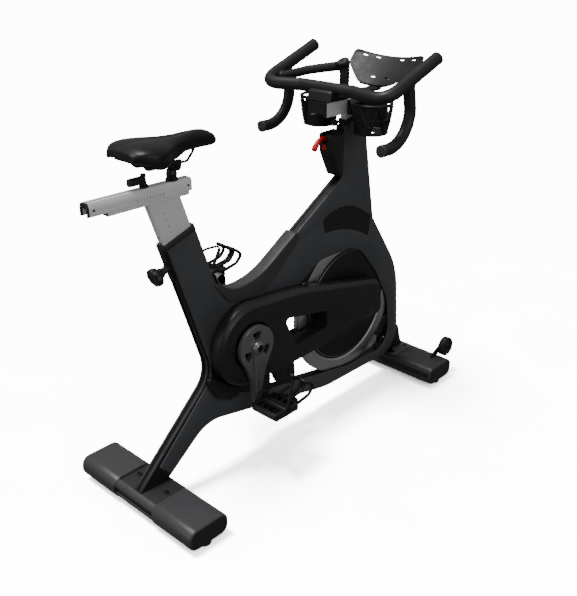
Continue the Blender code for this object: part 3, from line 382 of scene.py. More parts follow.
def joined(*meshes):
    """One mesh from several, each still its own shell."""
    whole = meshes[0]
    for other in meshes[1:]:
        data = bpy.data.meshes.new("joining")
        other.to_mesh(data)
        other.free()
        whole.from_mesh(data)
        bpy.data.meshes.remove(data)
    return whole


# ---------------------------------------------------------------- finishes
class Nodes:
    """Short hand for one material's node tree."""

    def __init__(self, name, roughness, metallic):
        self.material = bpy.data.materials.new(name)
        self.material.use_nodes = True
        self.tree = self.material.node_tree
        self.shader = self.tree.nodes["Principled BSDF"]
        self.shader.inputs["Roughness"].default_value = roughness
        self.shader.inputs["Metallic"].default_value = metallic
        self.where = self.tree.nodes.new("ShaderNodeTexCoord").outputs["Object"]

    def add(self, kind, **settings):
        made = self.tree.nodes.new(kind)
        for key, value in settings.items():
            setattr(made, key, value)
        return made

    def link(self, source, target):
        self.tree.links.new(source, target)

    def noise(self, scale, detail=3.0, stretch=None):
        place = self.where
        if stretch:
            mapping = self.add("ShaderNodeMapping")
            mapping.inputs["Scale"].default_value = stretch
            self.link(place, mapping.inputs["Vector"])
            place = mapping.outputs["Vector"]
        texture = self.add("ShaderNodeTexNoise")
        texture.inputs["Scale"].default_value = scale
        texture.inputs["Detail"].default_value = detail
        self.link(place, texture.inputs["Vector"])
        return texture.outputs["Fac"]

    def cells(self, scale):
        texture = self.add("ShaderNodeTexVoronoi", feature="DISTANCE_TO_EDGE")
        texture.inputs["Scale"].default_value = scale
        self.link(self.where, texture.inputs["Vector"])
        return texture.outputs["Distance"]

    def ramp(self, value, stops):
        made = self.add("ShaderNodeValToRGB")
        elements = made.color_ramp.elements
        while len(elements) < len(stops):
            elements.new(0.5)
        for element, (place, color) in zip(elements, stops):
            element.position = place
            element.color = (*color, 1.0)
        self.link(value, made.inputs["Fac"])
        return made.outputs["Color"]

    def blend(self, factor, first, second):
        made = self.add("ShaderNodeMix", data_type="RGBA", blend_type="MIX")
        self.link(factor, made.inputs["Factor"])
        for socket, value in ((made.inputs["A"], first), (made.inputs["B"], second)):
            if isinstance(value, tuple):
                socket.default_value = (*value, 1.0)
            else:
                self.link(value, socket)
        return made.outputs["Result"]

    def span(self, value, low, high):
        made = self.add("ShaderNodeMapRange")
        made.inputs["From Min"].default_value = 0.3
        made.inputs["From Max"].default_value = 0.7
        made.inputs["To Min"].default_value = low
        made.inputs["To Max"].default_value = high
        self.link(value, made.inputs["Value"])
        return made.outputs["Result"]

    def bump(self, height, strength, distance, under=None):
        made = self.add("ShaderNodeBump")
        made.inputs["Strength"].default_value = strength
        made.inputs["Distance"].default_value = distance
        self.link(height, made.inputs["Height"])
        if under:
            self.link(under, made.inputs["Normal"])
        return made.outputs["Normal"]

    def color(self, source):
        self.link(source, self.shader.inputs["Base Color"])

    def roughness(self, source):
        self.link(source, self.shader.inputs["Roughness"])

    def normal(self, source):
        self.link(source, self.shader.inputs["Normal"])


def scaled(color, factor):
    return tuple(min(1.0, channel * factor) for channel in color)


def speckled(name, color, fleck, roughness, metallic, grain):
    """Powder coat or moulded plastic: a fine pebbled surface with lighter flecks and slow drift."""
    n = Nodes(name, roughness, metallic)
    drift = n.noise(9.0, 2.0)
    base = n.ramp(drift, [(0.35, scaled(color, 0.90)), (0.65, scaled(color, 1.10))])
    fine = n.noise(grain, 2.0)
    mask = n.ramp(fine, [(0.52, (0, 0, 0)), (0.66, (1, 1, 1))])
    n.color(n.blend(mask, base, fleck))
    n.roughness(n.span(n.noise(60.0, 3.0), roughness - 0.05, roughness + 0.06))
    n.normal(n.bump(n.noise(grain * 0.55, 2.0), 0.35, 0.00035))
    return n.material


def smooth_plastic(name, color, roughness, grain=900.0, strength=0.15):
    """Moulded plastic or rubber with a soft grain and slight unevenness of gloss."""
    n = Nodes(name, roughness, 0.0)
    drift = n.noise(14.0, 3.0)
    fine = n.noise(grain, 3.0)
    base = n.ramp(drift, [(0.35, scaled(color, 0.86)), (0.65, scaled(color, 1.16))])
    fleck = n.ramp(fine, [(0.45, (0, 0, 0)), (0.75, (0.35, 0.35, 0.35))])
    n.color(n.blend(fleck, base, scaled(color, 1.7)))
    n.roughness(n.span(n.noise(45.0, 3.0), roughness - 0.06, roughness + 0.07))
    n.normal(n.bump(fine, strength, 0.0003))
    return n.material


def brushed(name, color, roughness, stretch, metallic=1.0):
    """Drawn or machined metal: fine lines across the stretch's large directions."""
    n = Nodes(name, roughness, metallic)
    lines = n.noise(1.0, 4.0, stretch)
    drift = n.noise(11.0, 2.0)
    base = n.ramp(drift, [(0.35, scaled(color, 0.93)), (0.65, scaled(color, 1.05))])
    dark = n.ramp(lines, [(0.3, (0, 0, 0)), (0.75, (0.5, 0.5, 0.5))])
    n.color(n.blend(dark, base, scaled(color, 0.80)))
    n.roughness(n.span(lines, roughness - 0.07, roughness + 0.09))
    n.normal(n.bump(lines, 0.12, 0.0002))
    return n.material


def spun_metal(name, color, roughness, centre):
    """Lathe-turned face: rings about an axis along Y through a point in the row frame."""
    n = Nodes(name, roughness, 1.0)
    mapping = n.add("ShaderNodeMapping")
    mapping.inputs["Location"].default_value = (-centre[0] - SHIFT, 0.0, -centre[1])
    n.link(n.where, mapping.inputs["Vector"])
    split = n.add("ShaderNodeSeparateXYZ")
    n.link(mapping.outputs["Vector"], split.inputs["Vector"])
    flat = n.add("ShaderNodeCombineXYZ")
    n.link(split.outputs["X"], flat.inputs["X"])
    n.link(split.outputs["Z"], flat.inputs["Y"])
    length = n.add("ShaderNodeVectorMath", operation="LENGTH")
    n.link(flat.outputs["Vector"], length.inputs[0])
    rings = n.add("ShaderNodeTexNoise", noise_dimensions="1D")
    rings.inputs["Scale"].default_value = 900.0
    rings.inputs["Detail"].default_value = 3.0
    n.link(length.outputs["Value"], rings.inputs["W"])
    drift = n.noise(7.0, 2.0)
    base = n.ramp(drift, [(0.35, scaled(color, 0.94)), (0.65, scaled(color, 1.04))])
    dark = n.ramp(rings.outputs["Fac"], [(0.3, (0, 0, 0)), (0.8, (0.4, 0.4, 0.4))])
    n.color(n.blend(dark, base, scaled(color, 0.82)))
    n.roughness(n.span(rings.outputs["Fac"], roughness - 0.05, roughness + 0.08))
    n.normal(n.bump(rings.outputs["Fac"], 0.10, 0.0002))
    return n.material


def vinyl(name, color, roughness):
    """Leather-like cover: small cells with painted shade darkening the creases between them, and a soft
    sheen.
    """
    n = Nodes(name, roughness, 0.0)
    cells = n.cells(700.0)
    drift = n.noise(18.0, 3.0)
    base = n.ramp(drift, [(0.35, scaled(color, 0.85)), (0.65, scaled(color, 1.2))])
    # painted shade: the colour falls to half along the cells' edges, where the creases are
    crease_shade = n.ramp(cells, [(0.0, (1, 1, 1)), (0.10, (0, 0, 0))])
    n.color(n.blend(crease_shade, base, scaled(color, 0.5)))
    n.roughness(n.span(n.noise(80.0, 3.0), roughness - 0.05, roughness + 0.08))
    n.normal(n.bump(cells, 0.35, 0.0003, n.bump(n.noise(120.0, 2.0), 0.10, 0.0006)))
    n.shader.inputs["Specular IOR Level"].default_value = 0.38
    n.shader.inputs["Sheen Weight"].default_value = 0.04
    n.shader.inputs["Sheen Roughness"].default_value = 0.4
    return n.material


CHARCOAL = speckled("charcoal_metallic", (0.070, 0.0735, 0.079), (0.150, 0.157, 0.168), 0.46, 0.20, 1100.0)
CORE_BLACK = speckled("core_black", (0.007, 0.007, 0.0075), (0.018, 0.018, 0.019), 0.44, 0.0, 1300.0)
GUARD_BLACK = speckled("guard_black", (0.012, 0.012, 0.013), (0.044, 0.044, 0.046), 0.38, 0.0, 900.0)
COVER_GREY = speckled("cover_grey", (0.036, 0.037, 0.039), (0.100, 0.100, 0.102), 0.42, 0.0, 1200.0)
RIB_GREY = speckled("rib_grey", (0.055, 0.057, 0.061), (0.130, 0.133, 0.140), 0.32, 0.3, 1100.0)
PLATE_GREY = speckled("plate_grey", (0.085, 0.086, 0.088), (0.140, 0.140, 0.142), 0.44, 0.0, 1200.0)
# dark grey for the real end plates and washers, and for painted shade strips in grooves and holes
END_AND_SHADE_DARK = speckled("end_and_shade_dark", (0.016, 0.016, 0.017), (0.030, 0.030, 0.030), 0.5, 0.0, 1000.0)
BAR_BLACK = smooth_plastic("bar_black", (0.0105, 0.0105, 0.011), 0.50, 1200.0, 0.25)
BAR_END = smooth_plastic("bar_end", (0.030, 0.030, 0.031), 0.55, 1000.0)
BLACK_PLASTIC = smooth_plastic("black_plastic", (0.010, 0.010, 0.0105), 0.44)
COLLAR_GREY = smooth_plastic("collar_grey", (0.022, 0.0225, 0.024), 0.44)
PAD_RUBBER = smooth_plastic("pad_rubber", (0.046, 0.046, 0.046), 0.42, 700.0, 0.2)
BLACK_RUBBER = smooth_plastic("black_rubber", (0.009, 0.009, 0.009), 0.68, 600.0, 0.4)
TABLET_BLACK = smooth_plastic("tablet_black", (0.0060, 0.0060, 0.0065), 0.50, 1500.0, 0.08)
MARK_GREY = smooth_plastic("mark_grey", (0.14, 0.14, 0.14), 0.5)
RED = smooth_plastic("red_plastic", (0.62, 0.002, 0.004), 0.36, 1200.0, 0.08)
VINYL = vinyl("saddle_vinyl", (0.0062, 0.0062, 0.0065), 0.40)
POST_METAL = brushed("post_aluminium", (0.93, 0.93, 0.935), 0.36, (60.0, 60.0, 900.0), 0.10)
RAIL_METAL = brushed("rail_aluminium", (0.95, 0.95, 0.955), 0.32, (20.0, 900.0, 900.0), 0.10)
CRANK_METAL = brushed("crank_metal", (0.300, 0.300, 0.303), 0.34, (700.0, 300.0, 60.0), 0.75)
DARK_STEEL = brushed("dark_steel", (0.042, 0.042, 0.044), 0.38, (400.0, 400.0, 400.0), 0.8)
BRIGHT_STEEL = brushed("bright_steel", (0.55, 0.55, 0.56), 0.28, (300.0, 900.0, 300.0))
FLYWHEEL_METAL = spun_metal("flywheel_metal", (0.74, 0.74, 0.75), 0.27, FLYWHEEL)
FLYWHEEL_DARK = speckled("flywheel_dark", (0.010, 0.010, 0.011), (0.030, 0.030, 0.032), 0.42, 0.2, 700.0)


# ---------------------------------------------------------------- pieces
def piece(name, mesh, finish, body, stands_for=(), bevel=0.0, segments=2, sharp=SHARP):
    """A visible piece that rides on a body and may stand for CAD nodes."""
    moved(mesh, (SHIFT, 0.0, 0.0))
    data = bpy.data.meshes.new(name)
    mesh.to_mesh(data)
    mesh.free()
    data.shade_smooth()
    data.set_sharp_from_angle(angle=math.radians(sharp))
    data.materials.append(finish)
    made = bpy.data.objects.new(name, data)
    bpy.context.scene.collection.objects.link(made)
    if bevel:
        rounding = made.modifiers.new("edge", "BEVEL")
        rounding.width = bevel
        rounding.segments = segments
        rounding.limit_method = "ANGLE"
        rounding.angle_limit = math.radians(sharp)
        rounding.harden_normals = True
    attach(made, body)
    if stands_for:
        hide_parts(*stands_for)
    return made


def cut(target, *meshes, solver="EXACT"):
    """Cuts shapes from a piece now, before its other modifiers, and removes the cutters."""
    for mesh in meshes:
        moved(mesh, (SHIFT, 0.0, 0.0))
        data = bpy.data.meshes.new("cutter")
        mesh.to_mesh(data)
        mesh.free()
        helper = bpy.data.objects.new("cutter", data)
        bpy.context.scene.collection.objects.link(helper)
        modifier = target.modifiers.new("cut", "BOOLEAN")
        modifier.operation = "DIFFERENCE"
        modifier.object = helper
        modifier.solver = solver
        for other in target.modifiers:
            other.show_viewport = other == modifier
        bpy.context.view_layer.update()
        graph = bpy.context.evaluated_depsgraph_get()
        result = bpy.data.meshes.new_from_object(target.evaluated_get(graph))
        target.modifiers.remove(modifier)
        for other in target.modifiers:
            other.show_viewport = True
        materials = list(target.data.materials)
        target.data = result
        result.materials.clear()
        for entry in materials:
            result.materials.append(entry)
        result.shade_smooth()
        result.set_sharp_from_angle(angle=math.radians(SHARP))
        bpy.data.objects.remove(helper, do_unlink=True)
    return target


def screw(name, centre, radius, height, axis, body, finish=DARK_STEEL):
    """A socket-head screw: a domed head with a hexagonal recess. height is signed along the axis."""
    u, v, base = centre
    sign = 1 if height > 0 else -1
    top = base + height
    head = [(0, base), (radius, base), (radius, base + height * 0.75), (radius * 0.86, top), (0, top)]
    made = piece(name, turned(head, 24, axis, (u, v)), finish, body)
    hexagon = circle((u, v), radius * 0.48, 6)
    cut(made, prism(hexagon, base + height * 0.3, top + sign * 0.002, axis))


# ---------------------------------------------------------------- frame
def frame_corners(rear_margin, leg_end):
    """The frame's side view, as corners that run anticlockwise seen from the rider's right."""
    seat_rear = along(SEAT_TUBE_TOP, SEAT_ANGLE, 0.0, -0.054 + rear_margin)
    seat_front = along(SEAT_TUBE_TOP, SEAT_ANGLE, 0.0, 0.054)
    corners = [(*seat_rear, 0.003), (0.232 + rear_margin, 0.342, 0.090)]
    corners += leg_end
    corners += [
        (0.204, 0.197, 0.120),
        (0.740, 0.084, 0.300),
        (1.146, 0.080, 0.090),
        (1.112, 0.420, 0.300),
        (0.960, 0.638, 0.020),
        (0.8985, 0.9655, 0.003),
        (0.7990, 0.9675, 0.003),
        (0.7950, 0.8090, 0.010),
        (0.4155, 0.5750, 0.240),
        (0.2734, 0.5750, 0.100),
        (*seat_front, 0.003),
    ]
    return corners


CORE_LEG = [(-0.047, 0.0765, 0.0015), (0.056, 0.0765, 0.0015)]
PANEL_LEG = [(0.022, 0.128, 0.004), (0.062, 0.086, 0.004)]
PANEL_OPENING = [
    (0.228, 0.532, 0.118),
    (0.228, 0.275, 0.110),
    (0.450, 0.196, 0.060),
    (0.860, 0.118, 0.300),
    (1.088, 0.112, 0.070),
    (1.068, 0.300, 0.150),
    (0.995, 0.428, 0.120),
    (0.885, 0.560, 0.140),
    (0.700, 0.562, 0.100),
    (0.600, 0.508, 0.060),
]
TOWER_SCOOP = [
    (0.7065, 0.6900, 0.006),
    (0.7160, 0.6440, 0.006),
    (0.8390, 0.6420, 0.360),
    (0.9400, 0.5760, 0.006),
    (0.9460, 0.6480, 0.006),
    (0.8060, 0.7370, 0.180),
]


def frame_core():
    full = frame_corners(0.0, CORE_LEG)
    shallow = filleted(inset(full, 0.0012))
    outline, groove = filleted(full), filleted(inset(full, 0.0035))
    rows = [
        (shallow, -CORE_HALF),
        (outline, -CORE_HALF + 0.0012),
        (outline, -0.0062),
        (groove, -0.0050),
        (groove, 0.0050),
        (outline, 0.0062),
        (outline, CORE_HALF - 0.0012),
        (shallow, CORE_HALF),
    ]
    opening = [(0.470, 0.500, 0.020), (0.470, 0.180, 0.030), (0.760, 0.106, 0.200)]
    opening += [(1.092, 0.104, 0.012), (1.0935, 0.300, 0.0)]
    opening += [(x, z, 0.0) for x, z in arc(FLYWHEEL, FLYWHEEL_RADIUS + 0.007, 5.0, 144.0, 48)]
    holes = [filleted(opening), circle(CRANK, BEARING_HOLE, 48)]
    foot = BEAM_TOP + GAP
    lug = [(1.090, 0.150, 0.0), (1.084, foot, 0.0), (1.178, foot, 0.004), (1.150, 0.170, 0.0)]
    lug = cushioned(lug, -CORE_HALF + 0.0005, CORE_HALF - 0.0005, 0.0015)
    whole = joined(stacked(rows, "Y", holes), lug)
    core = piece("frame_core_layer", whole, CORE_BLACK, "frame", ["frame_core"])
    seat_well = block((-0.0500, -0.0122, -0.235), (0.0500, 0.0122, 0.050))
    head_well = block((-0.0340, -0.0122, -0.215), (0.0340, 0.0122, 0.050))
    cut(core, tilted(seat_well, SEAT_TUBE_TOP, SEAT_ANGLE), tilted(head_well, HEAD_TOP, HEAD_ANGLE))


def frame_panels():
    full = frame_corners(0.006, PANEL_LEG)
    chamfer = 0.0013
    for side, hand in HANDS:
        inner, outer = side * (CORE_HALF + GAP), side * PANEL_FACE
        shapes = []
        for corners, slope in ((full, chamfer), (PANEL_OPENING, -chamfer), (TOWER_SCOOP, -chamfer * 1.6)):
            levels = [(0.0, inner), (0.0, outer - side * chamfer)]
            levels += [(slope * 0.4, outer - side * chamfer * 0.4), (slope, outer)]
            shapes.append(layers(corners, levels))
        sheet = stacked(shapes[0], "Y", shapes[1:])
        name = f"frame_panel_{hand}"
        piece(f"{name}_sheet", sheet, CHARCOAL, "frame", [name], sharp=50)
        # painted shade: a black floor in the tower scoop darkens the recess as its shade would
        recess = prism(filleted(inset(TOWER_SCOOP, GAP)), inner, inner + side * 0.0010)
        piece(f"scoop_shade_floor_{hand}", recess, CORE_BLACK, "frame")


def leg_ribs():
    """A raised strip each side of the frame's rear edge, down its waist and leg."""
    edge = filleted([(0.157, 0.568, 0.0), (0.232, 0.342, 0.090), (-0.040, 0.0832, 0.0)], 3.0)
    straight = [Vector(edge[-2]).lerp(Vector(edge[-1]), step / 8) for step in range(1, 8)]
    line = edge[:-1] + [tuple(point) for point in straight] + edge[-1:]
    for side, hand in HANDS:
        sizes = [0.0036 * min(1.0, 0.3 + 0.35 * min(i, len(line) - 1 - i)) for i in range(len(line))]
        strip = swept([(x, side * 0.0104, z) for x, z in line], sizes, 16)
        piece(f"leg_rib_{hand}", strip, RIB_GREY, "frame", sharp=70)


def swoop_pad():
    """A soft channel over the low bend, hollowed by the frame's own outline."""
    shape = [
        (0.2540, 0.6100, 0.0060),
        (0.3020, 0.5450, 0.0450),
        (0.4400, 0.5200, 0.1900),
        (0.5990, 0.6600, 0.0120),
        (0.5860, 0.6888, 0.0120),
        (0.4134, 0.5825, 0.2325),
        (0.2785, 0.5825, 0.0925),
        (0.2640, 0.6250, 0.0080),
    ]
    pad = cushioned(shape, -0.0225, 0.0225, 0.0040)
    pad = piece("swoop_pad_rubber", pad, PAD_RUBBER, "frame", ["swoop_pad"], sharp=60)
    under = inset(frame_corners(0.0, CORE_LEG), -GAP)
    cut(pad, prism(filleted(under), -PANEL_FACE - GAP, PANEL_FACE + GAP), solver="MANIFOLD")
    pad.data.set_sharp_from_angle(angle=math.radians(60))


def collars():
    outer = stadium((0, 0), 0.118, 0.040, 0.0133)
    hole = filleted(stadium((0, 0), 0.0992, 0.0244, 0.0))
    seat = tilted(
        cushioned(outer, GAP * 2, 0.016, 0.003, "Z", [hole], both=False), SEAT_TUBE_TOP, SEAT_ANGLE
    )
    piece("seat_collar", seat, COLLAR_GREY, "frame", ["seat_tube_collar"])
    strip = cushioned(stadium((-0.0566, 0.0), 0.0050, 0.0240, 0.0020), -0.0500, 0.0005, 0.001, "Z")
    strip = tilted(strip, SEAT_TUBE_TOP, SEAT_ANGLE)
    piece("seat_collar_tongue", strip, BLACK_PLASTIC, "frame")
    outer = stadium((0, 0), 0.084, 0.040, 0.0133)
    hole = filleted(stadium((0, 0), 0.0672, 0.0244, 0.0))
    head = tilted(cushioned(outer, 0.0095, 0.024, 0.003, "Z", [hole], both=False), HEAD_TOP, HEAD_ANGLE)
    piece("head_collar", head, BLACK_PLASTIC, "frame", ["tower_collar"])


# ---------------------------------------------------------------- stabilisers, feet and wheels
BEAM_MID = (BEAM_TOP + BEAM_BOTTOM) / 2
BEAM_TALL = BEAM_TOP - BEAM_BOTTOM


def rear_stabiliser():
    """A beam with a dark pocket on top and a groove down each side with painted shade in it, under a sleeve
    at each end.
    """
    tall = BEAM_TALL - 0.008
    beam = cushioned(stadium((0.0, BEAM_MID), 0.128, tall, 0.020), -0.244, 0.244, 0.003)
    made = piece("rear_beam", beam, COVER_GREY, "frame", ["rear_stabiliser"], sharp=50)
    floor = BEAM_TOP - 0.0065
    cut(made, block((-0.0470, -0.0835, floor), (0.0600, 0.0835, BEAM_TOP)))
    tray = cushioned(
        stadium((0.0065, 0.0), 0.1062, 0.1660, 0.002), floor - 0.001, floor + 0.0006, 0.0005, "Z"
    )
    piece("rear_pocket", tray, END_AND_SHADE_DARK, "frame")
    foot = cushioned(
        stadium((0.0040, 0.0), 0.1000, 2 * CORE_HALF, 0.002), floor - 0.0002, 0.0785, 0.0008, "Z"
    )
    piece("leg_foot", foot, CORE_BLACK, "frame")
    for edge in (-1, 1):
        x = edge * 0.0640
        cut(
            made, cushioned(stadium((x, BEAM_MID + 0.001), 0.0080, 0.0180, 0.0015), -0.0840, 0.0840, 0.0005)
        )
        # painted shade: a dark strip on the groove's floor stands in for the shade inside the groove
        groove_shade_strip = stadium((x - edge * 0.0042, BEAM_MID + 0.001), 0.0030, 0.0176, 0.0010)
        piece(f"rear_groove_{edge + 1}", cushioned(groove_shade_strip, -0.0836, 0.0836, 0.0005), END_AND_SHADE_DARK, "frame")
    for side, hand in HANDS:
        body = stadium((0.0, BEAM_MID), 0.136, BEAM_TALL, 0.028)
        start, end = side * 0.085, side * REAR_END
        levels = [(0.0035, start), (0.0008, start + side * 0.0002), (0.0, start + side * 0.0018)]
        levels += [(0.0, end - side * 0.0060), (0.0012, end - side * 0.0025), (0.0030, end - side * 0.0006)]
        sleeve = stacked(layers(body, levels + [(0.0055, end)]))
        name = f"rear_cover_{hand}"
        cover = piece(f"{name}_shell", sleeve, COVER_GREY, "frame", [name], sharp=50)
        end_face(f"{name}_end", cover, body, end, side)
        place = (0.0065, side * 0.062)
        ring = washer(0.0110, 0.004, floor, floor + 0.0016, 32, "Z", place)
        piece(f"rear_washer_{hand}", ring, END_AND_SHADE_DARK, "frame")
        screw(f"rear_screw_{hand}", (*place, floor + 0.0012), 0.0078, 0.0040, "Z", "frame")


def end_face(name, beam, body, end, side):
    """A dark plate set into the end of a stabiliser, inside a narrow rim."""
    cut(beam, cushioned(inset(body, 0.0068), end - side * 0.0014, end + side * 0.004, 0.0001))
    plate = cushioned(inset(body, 0.0070), end - side * 0.0030, end - side * 0.0007, 0.0006)
    piece(name, plate, END_AND_SHADE_DARK, "frame")


def front_stabiliser():
    body = stadium((FRONT_X, BEAM_MID), 0.136, BEAM_TALL, 0.026)
    half_rows = [(0.0050, 0.0), (0.0012, 0.0022), (0.0, 0.0055)]
    levels = [(depth, -FRONT_END + back) for depth, back in half_rows]
    levels += [(depth, FRONT_END - back) for depth, back in reversed(half_rows)]
    beam = stacked(layers(body, levels))
    made = piece("front_beam", beam, COVER_GREY, "frame", ["front_stabiliser"], sharp=50)
    for edge in (-1, 1):
        x, z = FRONT_X + edge * 0.0680, BEAM_MID + 0.004
        cut(made, cushioned(stadium((x, z), 0.0080, 0.0200, 0.0020), -0.204, 0.204, 0.0005))
        # painted shade: a dark strip on the groove's floor stands in for the shade inside the groove
        groove_shade_strip = stadium((x - edge * 0.0044, z), 0.0030, 0.0196, 0.0010)
        piece(f"front_groove_{edge + 1}", cushioned(groove_shade_strip, -0.2036, 0.2036, 0.0005), END_AND_SHADE_DARK, "frame")
    for side, hand in HANDS:
        end_face(f"front_end_{hand}", made, body, side * FRONT_END, side)
    outline = stadium((1.1375, 0.0), 0.111, 0.110, 0.018)
    slot = [(1.080, -0.0160), (1.182, -0.0160), (1.182, 0.0160), (1.080, 0.0160)]
    plate = cushioned(outline, BEAM_TOP + GAP, BEAM_TOP + 0.004, 0.0012, "Z", [slot], both=False)
    piece("front_plate", plate, PLATE_GREY, "frame", ["front_mount_plate"])
    for x in (1.100, 1.170):
        for y in (-0.036, 0.036):
            name = f"front_plate_screw_{round(x * 1000)}_{'left' if y > 0 else 'right'}"
            screw(name, (x, y, BEAM_TOP + 0.0038), 0.0065, 0.0030, "Z", "frame")


FEET = {
    "rear_right": (0.0, -0.222),
    "rear_left": (0.0, 0.222),
    "front_right": (FRONT_X, -0.186),
    "front_left": (FRONT_X, 0.186),
}


def feet():
    for name, centre in FEET.items():
        pad = [(0, 0), (0.0185, 0), (0.0205, 0.0012), (0.0210, 0.0030), (0.0210, 0.0080)]
        pad += [
            (0.0196, 0.0095), (0.0140, 0.0112), (0.0120, 0.0125), (0.0052, 0.0125), (0.0052, 0.0395),
            (0, 0.0400),
        ]
        mesh = turned(pad, 48, "Z", centre)
        for vert in mesh.verts:
            offset = Vector((vert.co.x - centre[0], vert.co.y - centre[1]))
            if offset.length > 0.0190 and 0.002 < vert.co.z < 0.009:
                lobe = 1.0 - 0.035 * max(0.0, math.cos(12 * math.atan2(offset.y, offset.x)))
                vert.co.x, vert.co.y = centre[0] + offset.x * lobe, centre[1] + offset.y * lobe
        piece(
            f"foot_pad_{name}", mesh, BLACK_RUBBER, f"foot_{name}", [f"levelling_foot_{name}"],
        )


def transport_wheels():
    centre = (middle("transport_wheel_right").x - SHIFT, middle("transport_wheel_right").z)
    radius, half = 0.035, 0.012
    for side, hand in HANDS:
        y = middle(f"transport_wheel_{hand}").y
        tyre = [(0.0255, -half), (0.0300, -half), (0.0335, -half + 0.0010), (radius, -half + 0.0045)]
        tyre += [(radius, half - 0.0045), (0.0335, half - 0.0010), (0.0300, half), (0.0255, half)]
        tyre = turned([(r, h + y) for r, h in tyre], 64, "Y", centre)
        piece(
            f"wheel_tyre_{hand}", tyre, BLACK_RUBBER, f"wheel_{hand}", [f"transport_wheel_{hand}"],
        )
        hub = [
            (0.0048, -0.0112), (0.0100, -0.0112), (0.0110, -0.0100), (0.0110, -0.0060), (0.0235, -0.0045)
        ]
        hub += [(0.0240, -0.0100), (0.0254, -0.0108), (0.0254, 0.0108), (0.0240, 0.0100), (0.0235, 0.0045)]
        hub += [(0.0110, 0.0060), (0.0110, 0.0100), (0.0100, 0.0112), (0.0048, 0.0112)]
        disc = turned([(r, h + y) for r, h in hub], 64, "Y", centre)
        wheel = piece(f"wheel_hub_{hand}", disc, COVER_GREY, f"wheel_{hand}")
        for step in range(5):
            turn = 72 * step + 18
            window = arc(centre, 0.0215, turn - 22, turn + 22, 6)
            window += arc(centre, 0.0140, turn + 16, turn - 16, 4)
            cut(wheel, prism(window, y - 0.02, y + 0.02))
        arm = [
            (1.160, BEAM_TOP + GAP, 0.0005),
            (1.196, BEAM_TOP + GAP, 0.004),
            (1.238, 0.101, 0.010),
            (1.226, 0.122, 0.010),
            (1.160, 0.092, 0.004),
        ]
        inner, outer = side * (abs(y) - half - 0.0058), side * (abs(y) - half - 0.0008)
        head = side * (abs(y) + half + 0.0012)
        bracket = cushioned(arm, inner, outer, 0.0010)
        bracket = joined(bracket, rod(0.0045, inner + side * 0.001, head, 24, "Y", centre))
        piece(f"wheel_arm_{hand}", bracket, CORE_BLACK, "frame", [f"wheel_bracket_{hand}"])
        screw(
            f"wheel_bolt_{hand}", (*centre, head - side * 0.0004), 0.0078, side * 0.0022, "Y",
            f"wheel_{hand}",
        )


# ---------------------------------------------------------------- drive
GUARD_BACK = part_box("belt_guard")[1][1]
GUARD_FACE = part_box("belt_guard")[0][1]
GUARD_CORNERS = [
    (0.225, 0.278, 0.128),
    (0.560, 0.272, 0.300),
    (0.985, 0.296, 0.035),
    (0.972, 0.425, 0.060),
    (0.560, 0.518, 0.400),
    (0.225, 0.546, 0.128),
]
WINDOW_CORNERS = [
    (0.541, 0.338, 0.012),
    (0.684, 0.347, 0.010),
    (0.680, 0.404, 0.012),
    (0.486, 0.444, 0.012),
]


def belt_guard():
    face, back = GUARD_FACE, GUARD_BACK
    levels = [(0.0150, face), (0.0138, face + 0.0002), (0.0122, face + 0.0010), (0.0030, face + 0.0088)]
    levels += [(0.0009, face + 0.0116), (0.0, face + 0.0150), (0.0, back)]
    window = [(-0.0026, face), (-0.0008, face + 0.0007), (0.0, face + 0.0026), (0.0030, back)]
    window = layers(WINDOW_CORNERS, window)
    recess = [(0.0755, face), (0.0726, face + 0.0012), (0.0715, face + 0.0040), (0.0715, back)]
    recess = [(circle(CRANK, radius, 72), y) for radius, y in recess]
    shell = stacked(layers(GUARD_CORNERS, levels, 3.0), "Y", [window, recess])
    guard = piece(
        "belt_guard_shell", shell, GUARD_BLACK, "frame", ["belt_guard"], sharp=40
    )
    hollow = [(0.0175, face + 0.0026), (0.0030, face + 0.016), (0.0030, back + 0.010)]
    walls = layers(WINDOW_CORNERS, [(-0.0034, y) for _, y in hollow])
    cut(guard, stacked(layers(GUARD_CORNERS, hollow, 3.0), "Y", [walls]))
    guard.data.set_sharp_from_angle(angle=math.radians(40))
    rim = [(0.0700, -0.0552), (0.0714, -0.0552), (0.0714, -0.0240), (0.0700, -0.0240)]
    piece("guard_crank_rim", turned(rim, 72, "Y", CRANK), BLACK_PLASTIC, "frame")


def guard_ribs():
    """Two raised curved ribs near the guard's lower front corner, and a screw at its nose."""
    for step, (start, end, reach) in enumerate(((-66, -34, 0.092), (-62, -38, 0.104))):
        path = []
        for index in range(17):
            angle = math.radians(start + (end - start) * index / 16)
            x, z = 0.845 + 1.02 * reach * math.cos(angle), 0.390 + reach * math.sin(angle)
            path.append((x, GUARD_FACE - 0.0002, z))
        sizes = [0.0016 * min(1.0, 0.2 + min(i, 16 - i) * 0.3) for i in range(17)]
        rib = swept(path, sizes, 12)
        piece(f"guard_rib_{step}", rib, COVER_GREY, "frame")
    screw("guard_nose_screw", (0.955, 0.372, GUARD_FACE + 0.0006), 0.0042, -0.0016, "Y", "frame")


STAY_CORNERS = [
    (0.236, 0.290, 0.115),
    (0.560, 0.262, 0.200),
    (0.860, 0.310, 0.046),
    (0.905, 0.330, 0.040),
    (0.900, 0.402, 0.040),
    (0.560, 0.494, 0.300),
    (0.236, 0.524, 0.115),
]


